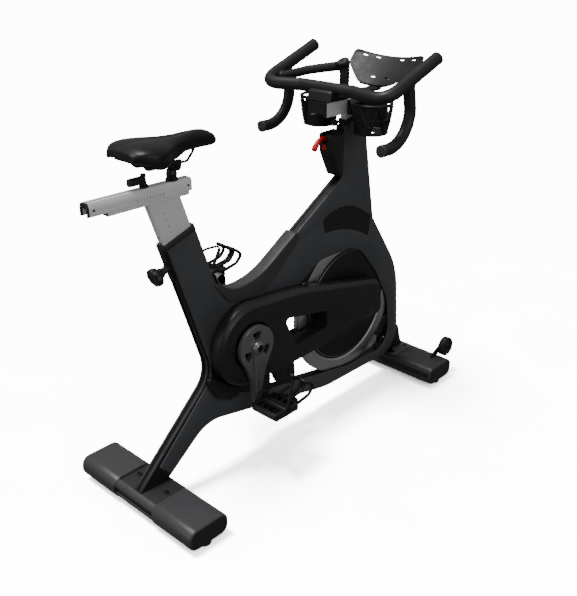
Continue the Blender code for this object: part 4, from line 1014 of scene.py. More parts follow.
def stays():
    holes = [
        circle(CRANK, BEARING_HOLE, 48), circle(FLYWHEEL, 0.0092, 32),
        filleted(inset(WINDOW_CORNERS, -0.0005)),
    ]
    for name, side, shown in (("drive_side_stay", -1, "right_stay"), ("left_axle_stay", 1, "left_stay")):
        plate = prism(filleted(STAY_CORNERS), side * (CORE_HALF + GAP), side * PANEL_FACE, holes=holes)
        piece(shown, plate, CORE_BLACK, "frame", [name])
    for step, (x, z) in enumerate(((0.275, 0.470), (0.275, 0.345), (0.445, 0.300), (0.445, 0.480))):
        screw(f"left_stay_screw_{step}", (x, z, PANEL_FACE - 0.0002), 0.0075, 0.0040, "Y", "frame")
    screw("flywheel_nut_left", (*FLYWHEEL, 0.0262), 0.0125, 0.0070, "Y", "flywheel", BRIGHT_STEEL)
    shield = [
        (0.204, 0.352, 0.010),
        (0.206, 0.314, 0.014),
        (0.240, 0.262, 0.014),
        (0.284, 0.240, 0.010),
        (0.314, 0.240, 0.010),
        (0.330, 0.264, 0.016),
        (0.460, 0.262, 0.020),
        (0.484, 0.214, 0.010),
        (0.566, 0.204, 0.012),
        (0.560, 0.2705, 0.002),
        (0.300, 0.2760, 0.100),
    ]
    plate = cushioned(shield, -0.034, GUARD_BACK - 0.0006, 0.0022)
    piece(
        "guard_lower_shield", plate, BLACK_PLASTIC, "frame", ["guard_lower_bracket"],
        sharp=50,
    )
    for step, (x, z) in enumerate(((0.2800, 0.2540), (0.5350, 0.2300))):
        screw(f"shield_screw_{step}", (x, z, -0.0338), 0.0055, -0.0022, "Y", "frame")


def bottom_bracket():
    shell = washer(0.026, 0.0118, -0.030, 0.030, 48, "Y", CRANK)
    piece("bb_shell", shell, DARK_STEEL, "frame", ["bottom_bracket_shell"])
    axle = rod(0.0115, -0.0657, 0.0657, 32, "Y", CRANK)
    piece("bb_axle", axle, BRIGHT_STEEL, "crankset", ["crank_axle"])
    cup = [
        (0.0125, 0.0305), (0.0235, 0.0305), (0.0245, 0.0320), (0.0245, 0.0375), (0.0225, 0.0400),
        (0.0125, 0.0400),
    ]
    piece("bb_cup_left", turned(cup, 48, "Y", CRANK), DARK_STEEL, "frame")


def pulleys():
    pulley = [(0.0118, -0.0320), (0.0220, -0.0320), (0.0220, -0.0400), (0.0880, -0.0400), (0.0900, -0.0380)]
    pulley += [
        (0.0992, -0.0380), (0.0992, -0.0480), (0.0900, -0.0480), (0.0880, -0.0455), (0.0118, -0.0455)
    ]
    piece(
        "large_pulley", turned(pulley, 96, "Y", CRANK), DARK_STEEL, "crankset", ["drive_pulley"],
    )
    big, small = Vector(CRANK), Vector(FLYWHEEL)
    reach = small - big
    heading = math.degrees(math.atan2(reach.y, reach.x))
    spread = math.degrees(math.acos(0.073 / reach.length))
    loops = []
    for extra in (0.0004, 0.0030):
        outline = arc(CRANK, 0.100 + extra, heading + spread, heading + 360 - spread, 72)
        outline += arc(FLYWHEEL, 0.027 + extra, heading - spread, heading + spread, 28)
        loops.append(outline)
    belt = prism(loops[1], -0.0475, -0.0385, holes=[loops[0]])
    piece("belt", belt, BLACK_RUBBER, "frame", ["drive_belt"])


def crank_outline(disc, waist, tip_radius, foot):
    """Teardrop: a disc about the crank axis, drawn out to a round boss at the pedal end."""
    if foot[1] > CRANK[1]:
        outline = arc(CRANK, disc, 180, 360, 24)
        outline += [(CRANK[0] + waist, CRANK[1] + 0.45 * CRANK_LENGTH)]
        outline += arc(foot, tip_radius, 0, 180, 16)
        outline += [(CRANK[0] - waist, CRANK[1] + 0.45 * CRANK_LENGTH)]
        return outline
    outline = arc(CRANK, disc, -38, 218, 60)
    left, right = [], []
    start_left, start_right = Vector(outline[-1]), Vector(outline[0])
    end_left = Vector((foot[0] - tip_radius, foot[1] + 0.010))
    end_right = Vector((foot[0] + tip_radius, foot[1] + 0.010))
    for index in range(1, 12):
        t = index / 12
        ease = 1 - (1 - t) ** 1.8
        x = start_left.x + (end_left.x - start_left.x) * ease
        left.append((x, start_left.y + (end_left.y - start_left.y) * t))
        x = end_right.x + (start_right.x - end_right.x) * (1 - ease)
        right.append((x, start_right.y + (end_right.y - start_right.y) * t))
    outline += left
    outline += arc(foot, tip_radius, 180, 360, 20)
    outline += right[::-1]
    return outline


def crank_arms():
    for side, hand in HANDS:
        foot = (CRANK[0], CRANK[1] + side * CRANK_LENGTH)
        disc = 0.0665 if side < 0 else 0.0220
        outline = crank_outline(disc, 0.0165, 0.0168, foot)
        plate = prism(outline, side * 0.0660, side * 0.0800)
        arm = piece(
            f"crank_{hand}", plate, CRANK_METAL, "crankset", [f"{hand}_crank_arm"],
            bevel=0.0022, segments=3,
        )
        if side < 0:
            for turn in (90.0, 205.0, 335.0):
                inner_arc = arc(CRANK, 0.0270, turn - 15, turn + 15, 4)
                outer_arc = arc(CRANK, 0.0500, turn + 21, turn - 21, 6)
                cut(arm, prism(inner_arc + outer_arc, -0.090, -0.050))
        corners = [(CRANK[0] - 0.0175, CRANK[1], 0.001), (foot[0] - 0.0115, foot[1], 0.001)]
        corners += [(foot[0] + 0.0115, foot[1], 0.001), (CRANK[0] + 0.0175, CRANK[1], 0.001)]
        if side > 0:
            corners = corners[::-1]
        ridge = cushioned(corners, side * 0.0770, side * 0.0862, 0.0030)
        piece(f"crank_{hand}_ridge", ridge, CRANK_METAL, "crankset", sharp=60)
        hub = [(0.0, 0.0790), (0.0215, 0.0790), (0.0215, 0.0865), (0.0190, 0.0905), (0.0150, 0.0920)]
        hub += [(0.0135, 0.0935), (0.0125, 0.0935), (0.0120, 0.0900), (0.0, 0.0900)]
        piece(
            f"crank_{hand}_hub", turned_out(side, hub, 48, CRANK), CRANK_METAL, "crankset",
        )
        screw(f"crank_{hand}_bolt", (*CRANK, side * 0.0898), 0.0098, side * 0.0030, "Y", "crankset")
        boss = [
            (0.0, 0.0660), (0.0160, 0.0660), (0.0172, 0.0675), (0.0172, 0.0865), (0.0155, 0.0885),
            (0.0, 0.0885),
        ]
        piece(
            f"crank_{hand}_boss", turned_out(side, boss, 40, foot), CRANK_METAL, "crankset",
        )
        spindle = [
            (0.0, 0.0870), (0.0105, 0.0870), (0.0105, 0.0935), (0.0076, 0.0950), (0.0074, 0.1995),
            (0.0, 0.1995),
        ]
        piece(
            f"spindle_{hand}", turned_out(side, spindle, 32, foot), DARK_STEEL, "crankset",
        )


def pedals():
    for side, hand in HANDS:
        x, z = CRANK[0], CRANK[1] + side * CRANK_LENGTH
        body = f"{hand}_pedal"
        low, high = sorted((side * 0.100, side * 0.199))
        shell = cushioned(stadium((x, z), 0.096, 0.024, 0.005), low, high, 0.0030)
        made = piece(
            f"{hand}_pedal_body", shell, BLACK_PLASTIC, body, [f"{hand}_pedal"], sharp=50
        )
        for shift in (-0.0290, 0.0290):
            hole = stadium((x + shift, side * 0.1495), 0.0240, 0.0780, 0.0040)
            cut(made, cushioned(hole, z - 0.03, z + 0.03, 0.001, "Z"))
        cut(made, rod(0.0082, low - 0.01, high + 0.01, 24, "Y", (x, z)))
        for shift in (-0.0290, 0.0290):
            for step in range(3):
                y = side * (0.1250 + 0.0245 * step)
                bar = stadium((x + shift, y), 0.0250, 0.0035, 0.0012)
                bar = cushioned(bar, z - 0.0095, z + 0.0080, 0.001, "Z")
                piece(
                    f"{hand}_pedal_bar_{'front' if shift > 0 else 'rear'}_{step}", bar, BLACK_PLASTIC, body
                )
        barrel = [(0.0083, 0.1005), (0.0125, 0.1005), (0.0140, 0.1050), (0.0140, 0.1900), (0.0120, 0.1980)]
        barrel += [(0.0083, 0.1980)]
        piece(f"{hand}_pedal_barrel", turned_out(side, barrel, 32, (x, z)), BLACK_PLASTIC, body)
        collar = [(0.0083, 0.0895), (0.0245, 0.0895), (0.0268, 0.0912), (0.0268, 0.0980), (0.0240, 0.0998)]
        collar += [(0.0083, 0.0998)]
        piece(f"{hand}_pedal_collar", turned_out(side, collar, 40, (x, z)), BLACK_PLASTIC, body)
        for edge in (-1, 1):
            strip = stadium((x + edge * 0.0480, z), 0.0030, 0.0170, 0.0012)
            strip = cushioned(strip, low + 0.006, high - 0.006, 0.001)
            piece(f"{hand}_pedal_plate_{edge + 1}", strip, COVER_GREY, body)
        toe_cage(side, hand, x, z, body)


def toe_cage(side, hand, x, z, body):
    """Two wire loops that reach forward from the pedal, a front plate, and a strap with its buckle."""
    near, far = side * 0.112, side * 0.187
    mid = (near + far) / 2
    plate = [
        (x + 0.0500, near, 0.004),
        (x + 0.0600, near, 0.004),
        (x + 0.0780, mid - side * 0.018, 0.010),
        (x + 0.0780, mid + side * 0.018, 0.010),
        (x + 0.0600, far, 0.004),
        (x + 0.0500, far, 0.004),
    ]
    if side < 0:
        plate = plate[::-1]
    base = cushioned(plate, z - 0.0020, z + 0.0012, 0.0008, "Z")
    piece(f"{hand}_cage_plate", base, DARK_STEEL, body, [f"{hand}_toe_cage"])
    for step, (start, finish) in enumerate(((near, mid - side * 0.006), (mid + side * 0.006, far))):
        loop = [
            (x + 0.0560, start, z + 0.002),
            (x + 0.1040, start, z + 0.010),
            (x + 0.1270, start, z + 0.034),
            (x + 0.0900, start, z + 0.060),
            (x + 0.0900, finish, z + 0.060),
            (x + 0.1270, finish, z + 0.034),
            (x + 0.1040, finish, z + 0.010),
            (x + 0.0560, finish, z + 0.002),
        ]
        wire = swept(rounded_path(loop, 0.024, 10), 0.0050, 16)
        piece(f"{hand}_cage_wire_{step}", wire, DARK_STEEL, body)
    strap = [
        (x + 0.0040, far + side * 0.0095, z - 0.004),
        (x + 0.0060, far + side * 0.0110, z + 0.030),
        (x + 0.0400, far - side * 0.0100, z + 0.056),
        (x + 0.0760, mid, z + 0.0655),
        (x + 0.0400, near + side * 0.0100, z + 0.056),
        (x + 0.0060, near - side * 0.0050, z + 0.030),
        (x + 0.0040, near - side * 0.0040, z - 0.004),
    ]
    band = swept(rounded_path(strap, 0.060, 14), 0.0062, 12, flat=0.20, up=(0.0, side, 0.0))
    piece(f"{hand}_cage_strap", band, BLACK_RUBBER, body)
    buckle = stadium((x + 0.0050, z + 0.012), 0.0150, 0.0180, 0.003)
    buckle = cushioned(buckle, far + side * 0.0085, far + side * 0.0120, 0.001)
    piece(f"{hand}_cage_buckle", buckle, DARK_STEEL, body)


# ---------------------------------------------------------------- flywheel and brake
def flywheel():
    half = 0.0105
    rim = [(0.0088, -0.0072), (0.1945, -0.0072), (0.1980, -0.0076), (0.2002, -0.0088), (0.2020, -0.0102)]
    rim += [(0.2040, -half), (FLYWHEEL_RADIUS - 0.0018, -half), (FLYWHEEL_RADIUS - 0.0005, -half + 0.0005)]
    rim += [(FLYWHEEL_RADIUS, -half + 0.0018)]
    disc = turned(mirrored(rim), 128, "Y", FLYWHEEL)
    piece("flywheel_disc", disc, FLYWHEEL_METAL, "flywheel", ["flywheel"], sharp=30)
    band = [(0.1895, 0.0070), (0.1965, 0.0070), (0.1965, 0.0078), (0.1955, 0.0084), (0.1895, 0.0084)]
    bead = [(0.1878, 0.0070), (0.1896, 0.0070), (0.1899, 0.0098), (0.1894, 0.0106), (0.1884, 0.0106)]
    bead += [(0.1879, 0.0098)]
    cover = [(0.0095, 0.0070), (0.1874, 0.0070), (0.1874, 0.0112), (0.1866, 0.0124), (0.1840, 0.0131)]
    cover += [(0.1250, 0.0132), (0.1230, 0.0124), (0.0640, 0.0122), (0.0620, 0.0132), (0.0095, 0.0132)]
    for side, hand in HANDS:
        ring = turned_out(side, band, 128, FLYWHEEL)
        piece(f"flywheel_band_{hand}", ring, FLYWHEEL_DARK, "flywheel")
        ring = turned_out(side, bead, 128, FLYWHEEL)
        piece(f"flywheel_bead_{hand}", ring, FLYWHEEL_METAL, "flywheel")
        covers = ["flywheel_cover"] if side < 0 else []
        disc = turned_out(side, cover, 128, FLYWHEEL)
        piece(
            f"flywheel_cover_{hand}_disc", disc, FLYWHEEL_DARK, "flywheel", covers,
            sharp=25,
        )
    shaft = [(0.0, -0.0490), (0.0240, -0.0490), (0.0270, -0.0485), (0.0270, -0.0380), (0.0240, -0.0375)]
    shaft += [(0.0085, -0.0375), (0.0085, 0.0250), (0.0075, 0.0262), (0.0, 0.0262)]
    shaft = turned(shaft, 48, "Y", FLYWHEEL)
    piece("flywheel_axle", shaft, BRIGHT_STEEL, "flywheel", ["flywheel_shaft"])
    nut = [(0.0084, -0.0360), (0.0130, -0.0360), (0.0130, -0.0300), (0.0110, -0.0290), (0.0084, -0.0290)]
    piece("flywheel_nut", turned(nut, 24, "Y", FLYWHEEL), DARK_STEEL, "flywheel")


BRAKE_START, BRAKE_END = -46.0, -27.0


def band_of(inner, outer, start, end):
    """The outline of a band about the flywheel's axis."""
    return arc(FLYWHEEL, outer, start, end, 18) + arc(FLYWHEEL, inner, end, start, 18)


def magnet_brake():
    near, far = FLYWHEEL_RADIUS + 0.0045, FLYWHEEL_RADIUS + 0.0230
    shell = prism(band_of(near, far, BRAKE_START, BRAKE_END), -0.0143, 0.0143)
    shoe = piece(
        "brake_shell", shell, BLACK_PLASTIC, "brake", ["magnet_carrier"], bevel=0.0012
    )
    for step in range(4):
        angle = BRAKE_START + 3.6 + 3.9 * step
        cut(shoe, prism(band_of(far - 0.0050, far + 0.0040, angle - 0.5, angle + 0.5), -0.0100, 0.0100))
        magnet = prism(band_of(near - 0.0010, near + 0.0010, angle - 1.5, angle + 1.5), -0.0090, 0.0090)
        piece(f"brake_magnet_{step}", magnet, BRIGHT_STEEL, "brake", bevel=0.0003)
    ear = [(1.036, 0.178, 0.003), (1.0555, 0.146, 0.005), (1.0725, 0.154, 0.005), (1.052, 0.192, 0.003)]
    piece("brake_ear", cushioned(ear, -0.0045, 0.0045, 0.0010), DARK_STEEL, "brake")
    base = [
        (1.040, 0.1050, 0.002), (1.078, 0.1048, 0.002), (1.078, 0.152, 0.006), (1.064, 0.158, 0.006),
        (1.052, 0.152, 0.005),
    ]
    clevis = cushioned(base, -0.0110, 0.0110, 0.0012)
    made = piece("brake_clevis", clevis, BLACK_PLASTIC, "frame", ["brake_bracket"])
    cut(made, block((1.030, -0.0055, 0.128), (1.090, 0.0055, 0.170)))
    for side, hand in HANDS:
        screw(
            f"brake_pin_{hand}", (1.064, 0.150, side * 0.0108), 0.0050, side * 0.0026, "Y", "frame",
            BRIGHT_STEEL,
        )


# ---------------------------------------------------------------- seat
def seat_post():
    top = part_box("seat_post")[1][2]
    bar = cushioned(stadium((0.0, 0.0), 0.098, 0.023, 0.0038), -0.155, 0.150, 0.001, "Z")
    bar = tilted(bar, SEAT_TUBE_TOP, SEAT_ANGLE)
    made = piece("seat_post_bar", bar, POST_METAL, "seat_post", ["seat_post"], sharp=50)
    cut(made, block((-0.3, -0.05, top), (0.6, 0.05, top + 0.2)))
    for step in range(9):
        height = -0.112 + 0.018 * step
        hole = block((-0.0600, -0.0042, height), (-0.0425, 0.0042, height + 0.0085))
        cut(made, tilted(hole, SEAT_TUBE_TOP, SEAT_ANGLE))
        # painted shade: a dark plate at the bottom of each pin hole stands in for the shade inside it
        hole_shade = block((-0.0436, -0.0040, height + 0.0002), (-0.0420, 0.0040, height + 0.0083))
        piece(f"post_hole_shade_{step}", tilted(hole_shade, SEAT_TUBE_TOP, SEAT_ANGLE), END_AND_SHADE_DARK, "seat_post")
    for side, hand in HANDS:
        for step in range(4):
            mark = stadium((-0.0150, 0.036 + 0.0190 * step), 0.0016, 0.0046, 0.0007)
            tick = prism(filleted(mark), side * 0.01145, side * 0.01162)
            tick = tilted(tick, SEAT_TUBE_TOP, SEAT_ANGLE)
            piece(f"post_mark_{step}_{hand}", tick, MARK_GREY, "seat_post")


def seat_rails():
    low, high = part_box("lower_seat_rail")
    y, bottom, top = high[1], low[2], high[2]
    side = [(y, bottom), (y, bottom + 0.0040), (y - 0.0022, bottom + 0.0052), (y - 0.0022, bottom + 0.0086)]
    side += [(y, bottom + 0.0098), (y, top)]
    rail = prism(both_sides(side), low[0] - SHIFT, high[0] - SHIFT, "X")
    piece("lower_rail", rail, RAIL_METAL, "seat_post", ["lower_seat_rail"], bevel=0.0005)
    low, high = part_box("upper_seat_rail")
    bottom, top = low[2], high[2]
    half = [(0.0112, RAIL_ROOF), (0.0112, bottom), (0.0160, bottom), (0.0160, 0.9080), (0.0154, 0.9086)]
    half += [(0.0154, 0.9096), (0.0160, 0.9102), (0.0160, top - 0.0110), (0.0110, top), (0.0030, top)]
    half += [(0.0030, top - 0.0030)]
    start, end = low[0] - SHIFT, high[0] - SHIFT
    rail = prism(both_sides(half), start, end, "X")
    piece("upper_rail", rail, RAIL_METAL, "seat_carriage", ["upper_seat_rail"], bevel=0.0004)
    # painted shade: a dark strip along the floor of the top groove stands in for the shade inside it
    rail_groove_shade = block((start + 0.001, -0.0029, top - 0.0032), (end - 0.001, 0.0029, top - 0.0024))
    piece("upper_rail_groove_shade", rail_groove_shade, END_AND_SHADE_DARK, "seat_carriage")
    low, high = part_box("seat_rail_rear_cap")
    y, bottom, top = high[1], low[2], high[2]
    face = [(0.0116, RAIL_ROOF, 0.0015), (0.0116, bottom, 0.0015), (y, bottom, 0.0015)]
    face += [(y, top - 0.0110, 0.0020), (y - 0.0050, top, 0.0020)]
    face = [(-across, z, radius) for across, z, radius in reversed(face)] + face
    cap = cushioned(face, low[0] - SHIFT, high[0] - SHIFT, 0.0010, "X")
    piece(
        "rail_cap", cap, BLACK_PLASTIC, "seat_carriage", ["seat_rail_rear_cap"], sharp=60
    )
    for side, hand in HANDS:
        for x in (start + 0.012, end - 0.010):
            name = f"rail_screw_{'rear' if x < 0.1 else 'front'}_{hand}"
            screw(name, (x, 0.9150, side * 0.0158), 0.0030, side * 0.0012, "Y", "seat_carriage")


def rail_ends():
    """Black end plates on the upper rail's front and on both ends of the lower rail."""
    upper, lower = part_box("upper_seat_rail"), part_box("lower_seat_rail")
    half, low, top = upper[1][1], upper[0][2], upper[1][2]
    section = [(0.0112, RAIL_ROOF), (0.0112, low), (half, low), (half, top - 0.008), (half - 0.004, top)]
    front = upper[1][0] - SHIFT
    plate = prism(both_sides(section), front, front + 0.0022, "X")
    piece("upper_rail_front_plate", plate, BLACK_PLASTIC, "seat_carriage", bevel=0.0006)
    (rear, right, bottom), (front, left, roof) = lower
    for name, start in (("front", front - SHIFT), ("rear", rear - SHIFT - 0.0016)):
        plug = block((start, right + GAP, bottom + GAP), (start + 0.0016, left - GAP, roof - GAP))
        piece(f"lower_rail_{name}_plug", plug, BLACK_PLASTIC, "seat_post", bevel=0.0004)
    for side, hand in HANDS:
        for step in range(9):
            x, end = 0.020 + 0.010 * step, 0.9110 if step % 4 else 0.9130
            tick = block((x, side * half - GAP, 0.9060), (x + 0.0007, side * half + GAP, end))
            piece(f"rail_tick_{hand}_{step}", tick, CORE_BLACK, "seat_carriage")


def saddle_mount():
    x, z = SADDLE_X, SADDLE_Z
    top = SEAT_RAIL_TOP + GAP
    neck = [(0, top), (0.0160, top), (0.0168, top + 0.0010), (0.0168, top + 0.0040), (0.0150, top + 0.0060)]
    neck += [(0.0134, top + 0.0075), (0.0134, top + 0.0120), (0.0142, top + 0.0130), (0.0142, top + 0.0200)]
    neck += [(0.0125, top + 0.0230), (0.0118, 0.9618), (0, 0.9618)]
    stem = turned(neck, 40, "Z", (x, 0.0))
    piece("saddle_neck", stem, BLACK_PLASTIC, "seat_carriage", ["saddle_stem"], sharp=40)
    barrel = [(0, -0.0290), (0.0085, -0.0290), (0.0085, -0.0272), (0.0120, -0.0270), (0.0128, -0.0262)]
    barrel += [(0.0128, -0.0150), (0.0118, -0.0145), (0.0118, -0.0125), (0.0128, -0.0120)]
    body = turned(mirrored(barrel), 48, "Y", (x, z))
    piece("clamp_barrel", body, BLACK_PLASTIC, "saddle", ["saddle_clamp"], sharp=30)
    for side, hand in HANDS:
        screw(f"clamp_screw_{hand}", (x, z, side * 0.0288), 0.0072, side * 0.0034, "Y", "saddle")
        jaw = stadium((x, z + 0.0105), 0.0300, 0.0060, 0.0020)
        jaw = cushioned(jaw, side * 0.0160, side * 0.0262, 0.001)
        piece(f"clamp_jaw_{hand}", jaw, BLACK_PLASTIC, "saddle")
    for side, hand in HANDS:
        wire = [
            (0.0300, side * 0.0300, 1.0040),
            (0.0520, side * 0.0215, 0.9800),
            (0.1760, side * 0.0215, 0.9800),
            (0.1990, side * 0.0150, 0.9960),
            (0.2140, side * 0.0080, 1.0100),
        ]
        bar = swept(rounded_path(wire, 0.018, 8), 0.0035, 18)
        covers = ["saddle_rails"] if side < 0 else []
        piece(f"saddle_wire_{hand}", bar, DARK_STEEL, "saddle", covers, sharp=60)


def eased(table, t):
    """A smooth curve through (t, value) pairs."""
    count = len(table)
    for index in range(count - 1):
        if t <= table[index + 1][0] or index == count - 2:
            break
    before = table[max(0, index - 1)]
    start, end = table[index], table[index + 1]
    after = table[min(count - 1, index + 2)]
    width = end[0] - start[0]
    s = min(1.0, max(0.0, (t - start[0]) / width))
    slope_start = (end[1] - before[1]) / (end[0] - before[0]) * width
    slope_end = (after[1] - start[1]) / (after[0] - start[0]) * width
    hermite = (2 * s**3 - 3 * s**2 + 1) * start[1] + (s**3 - 2 * s**2 + s) * slope_start
    return hermite + (3 * s**2 - 2 * s**3) * end[1] + (s**3 - s**2) * slope_end


SADDLE_HALF = [(0, 0.0520), (0.07, 0.0740), (0.16, 0.0865), (0.24, 0.0850), (0.32, 0.0720), (0.42, 0.0510)]
SADDLE_HALF += [(0.54, 0.0345), (0.70, 0.0245), (0.85, 0.0210), (0.95, 0.0165), (1, 0.0060)]
SADDLE_TOP = [(0, 1.034), (0.06, 1.0455), (0.16, 1.0500), (0.30, 1.0490), (0.50, 1.0455), (0.72, 1.0490)]
SADDLE_TOP += [(0.86, 1.0450), (0.95, 1.0330), (1, 1.0180)]
SADDLE_SKIRT = [(0, 1.0100), (0.08, 1.0020), (0.20, 0.9915), (0.34, 0.9950), (0.50, 1.0070), (0.78, 1.0060)]
SADDLE_SKIRT += [(0.90, 1.0040), (1, 1.0080)]
SADDLE_SPAN = (-0.010, 0.290)


def saddle_x(t):
    return SADDLE_SPAN[0] + (SADDLE_SPAN[1] - SADDLE_SPAN[0]) * t


def saddle_ring(t):
    """One cross-section of the saddle: over the top, round the skirt and back underneath."""
    half, top, skirt = (eased(table, t) for table in (SADDLE_HALF, SADDLE_TOP, SADDLE_SKIRT))
    channel = 0.0045 * max(0.0, math.sin(math.pi * min(1.0, t / 0.80))) ** 0.7
    wide = skirt + 0.42 * (top - skirt)
    ring = []
    for step in range(-12, 13):
        angle = math.radians(90 * step / 12)
        across = math.copysign(abs(math.sin(angle)) ** 0.92, angle)
        height = abs(math.cos(angle)) ** (0.62 if half > 0.03 else 0.80)
        dip = channel * math.exp(-((across * half / 0.0105) ** 2))
        ring.append((across * half, wide + (top - wide) * height - dip))
    lower = [(1.0, 0.55), (0.985, 0.20), (0.955, 0.0), (0.90, 0.03), (0.86, 0.25)]
    under = skirt + 0.0075
    right = [(half * share, skirt + (wide - skirt) * drop) for share, drop in lower]
    ring += right + [(half * 0.55, under), (0.0, under), (-half * 0.55, under)]
    ring += [(-across, z) for across, z in reversed(right)]
    return ring


def saddle():
    mesh = bmesh.new()
    count = 30
    rings = []
    for index in range(count + 1):
        t = 0.5 - 0.5 * math.cos(math.pi * index / count)
        rings.append([mesh.verts.new((saddle_x(t), y, z)) for y, z in saddle_ring(t)])
    for ring, other in zip(rings, rings[1:]):
        for index in range(len(ring)):
            after = (index + 1) % len(ring)
            mesh.faces.new((ring[index], ring[after], other[after], other[index]))
    for ring in (rings[0], rings[-1]):
        low, high = min(v.co.z for v in ring), max(v.co.z for v in ring)
        bulge = -0.0040 if ring is rings[0] else 0.0035
        end = mesh.verts.new((ring[0].co.x + bulge, 0.0, (low + high) / 2))
        for index in range(len(ring)):
            mesh.faces.new((ring[index], ring[(index + 1) % len(ring)], end))
    bmesh.ops.recalc_face_normals(mesh, faces=mesh.faces)
    made = piece("saddle_cover", mesh, VINYL, "saddle", ["saddle"], sharp=75)
    rounding = made.modifiers.new("round", "SUBSURF")
    rounding.levels = 2
    rounding.render_levels = 2
    for side, hand in HANDS:
        seam = []
        for index in range(3, 58):
            t = 0.5 - 0.5 * math.cos(math.pi * index / 60)
            half, top, skirt = (eased(table, t) for table in (SADDLE_HALF, SADDLE_TOP, SADDLE_SKIRT))
            seam.append((saddle_x(t), side * (half * 0.995 + 0.0002), skirt + 0.16 * (top - skirt)))
        piece(f"saddle_piping_{hand}", swept(seam, 0.0010, 10), BLACK_RUBBER, "saddle")
    base = []
    for index in range(25):
        t = 0.06 + 0.88 * index / 24
        base.append((saddle_x(t), 0.66 * eased(SADDLE_HALF, t)))
    shell = prism(mirrored(base), 1.0035, 1.0100, "Z")
    piece("saddle_base", shell, BLACK_PLASTIC, "saddle", bevel=0.0015)


def seat_lever():
    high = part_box("seat_lock_lever")[1]
    x, base = 0.054, SEAT_RAIL_TOP + GAP
    stalk = [
        (0, base), (0.0110, base), (0.0115, base + 0.0010), (0.0115, base + 0.0050), (0.0080, base + 0.0080)
    ]
    stalk += [(0.0070, base + 0.0120), (0.0070, high[2] - 0.0015), (0.0058, high[2]), (0, high[2])]
    post = turned(stalk, 36, "Z", (x, 0.0))
    piece("lever_stalk", post, BLACK_PLASTIC, "seat_lever", ["seat_lock_lever"])
    paddle = [(0.006, -0.0085, 0.0080), (0.058, -0.0095, 0.0080)]
    paddle += [(0.058, 0.0095, 0.0080), (0.006, 0.0085, 0.0080)]
    grip = cushioned(paddle, 0.9430, 0.9620, 0.0045, "Z")
    piece("lever_paddle", grip, BLACK_PLASTIC, "seat_lever", sharp=60)


def fluted(mesh, radius, depth, count):
    """Presses count flutes into a knob turned about X, where it lies beyond a radius."""
    for vert in mesh.verts:
        y, z = vert.co.y, vert.co.z
        if math.hypot(y, z) > radius:
            factor = 1.0 - depth * (0.5 - 0.5 * math.cos(count * math.atan2(z, y)))
            vert.co.y, vert.co.z = y * factor, z * factor
    return mesh


KNOB = [(0.0, 0.0), (0.42, 0.0), (0.52, 0.04), (0.52, 0.12), (0.45, 0.18), (0.45, 0.24), (0.80, 0.36)]
KNOB += [(0.97, 0.50), (1.0, 0.60), (1.0, 0.86), (0.94, 0.95), (0.80, 1.0), (0.55, 1.0), (0.50, 0.97)]
KNOB += [(0.0, 0.97)]


def pull_pins():
    """The seat post's pin in its sleeve, and the knobs of both posts."""
    seat = along(SEAT_TUBE_TOP, SEAT_ANGLE, -0.054, -0.0554)
    sleeve = [(0, 0.0), (0.0100, 0.0), (0.0125, -0.0010), (0.0125, -0.0060), (0.0100, -0.0075)]
    sleeve += [(0.0100, -0.0190), (0.0092, -0.0200), (0, -0.0200)]
    body = tilted(turned(sleeve, 40, "X"), seat, SEAT_ANGLE)
    piece("seat_pin_sleeve", body, BLACK_PLASTIC, "frame", ["seat_pin_housing"], sharp=40)
    plate = cushioned(stadium((-0.0572, 0.0), 0.0030, 0.0210, 0.001), -0.095, -0.004, 0.001, "Z")
    plate = tilted(plate, SEAT_TUBE_TOP, SEAT_ANGLE)
    piece("seat_pin_plate", plate, BLACK_PLASTIC, "frame")
    knobs = (("seat", seat, SEAT_ANGLE, 1.40, 0.0555), ("bar", (0.806, 0.980), 0.0, 0.58, 0.0435))
    start = -0.0215
    for name, origin, angle, size, reach in knobs:
        profile = [(r * 0.0190 * size, start - share * (reach + start)) for r, share in KNOB]
        knob = fluted(turned(profile, 96, "X"), 0.0142 * size, 0.10, 8)
        knob = tilted(knob, origin, angle)
        piece(
            f"{name}_knob", knob, BLACK_PLASTIC, f"{name}_pin", [f"{name}_pin_knob"],
            sharp=40,
        )


# ---------------------------------------------------------------- control pod and lever
POD_CORNERS = [
    (0.7925, 0.818, 0.003),
    (0.7925, 0.956, 0.004),
    (0.724, 0.954, 0.010),
    (0.728, 0.895, 0.030),
    (0.766, 0.818, 0.010),
]


def control_pod():
    shell = cushioned(POD_CORNERS, -0.0240, 0.0240, 0.0065)
    made = piece("pod_shell", shell, BLACK_PLASTIC, "frame", ["control_pod"], sharp=60)
    cut(made, block((0.700, -0.0080, 0.924), (0.750, 0.0080, 0.980)))
    made.data.set_sharp_from_angle(angle=math.radians(60))
    for side, hand in HANDS:
        inner = inset(POD_CORNERS, 0.0085)
        panel = cushioned(inner, side * 0.0225, side * 0.0252, 0.0014)
        piece(f"pod_panel_{hand}", panel, GUARD_BLACK, "frame", sharp=60)
    hub = rod(0.0085, -0.0072, 0.0072, 36, "Y", LEVER_PIVOT, 0.0012)
    piece("lever_hub", hub, RED, "shift_lever", ["shift_lever"])
    bends = [LEVER_PIVOT, (0.715, 0.9430), (0.696, 0.9340), (0.6805, 0.9135)]
    path = rounded_path([(x, 0, z) for x, z in bends], 0.05, 12)
    count = len(path) - 1
    sizes = [0.0054 + 0.0034 * (index / count) ** 1.3 for index in range(count + 1)]
    sizes[0] *= 0.8
    tip = path[-1] + (path[-1] - path[-2]).normalized() * 0.0040
    path += [tip, tip + (path[-1] - path[-2]).normalized() * 0.0016]
    sizes += [sizes[-1] * 0.80, sizes[-1] * 0.40]
    piece("lever_arm", swept(path, sizes, 20), RED, "shift_lever", sharp=60)
    flag = cushioned(stadium((0.7292, 0.9120), 0.0090, 0.0160, 0.002), -0.0060, 0.0060, 0.001)
    piece("pod_indicator", flag, RED, "frame")


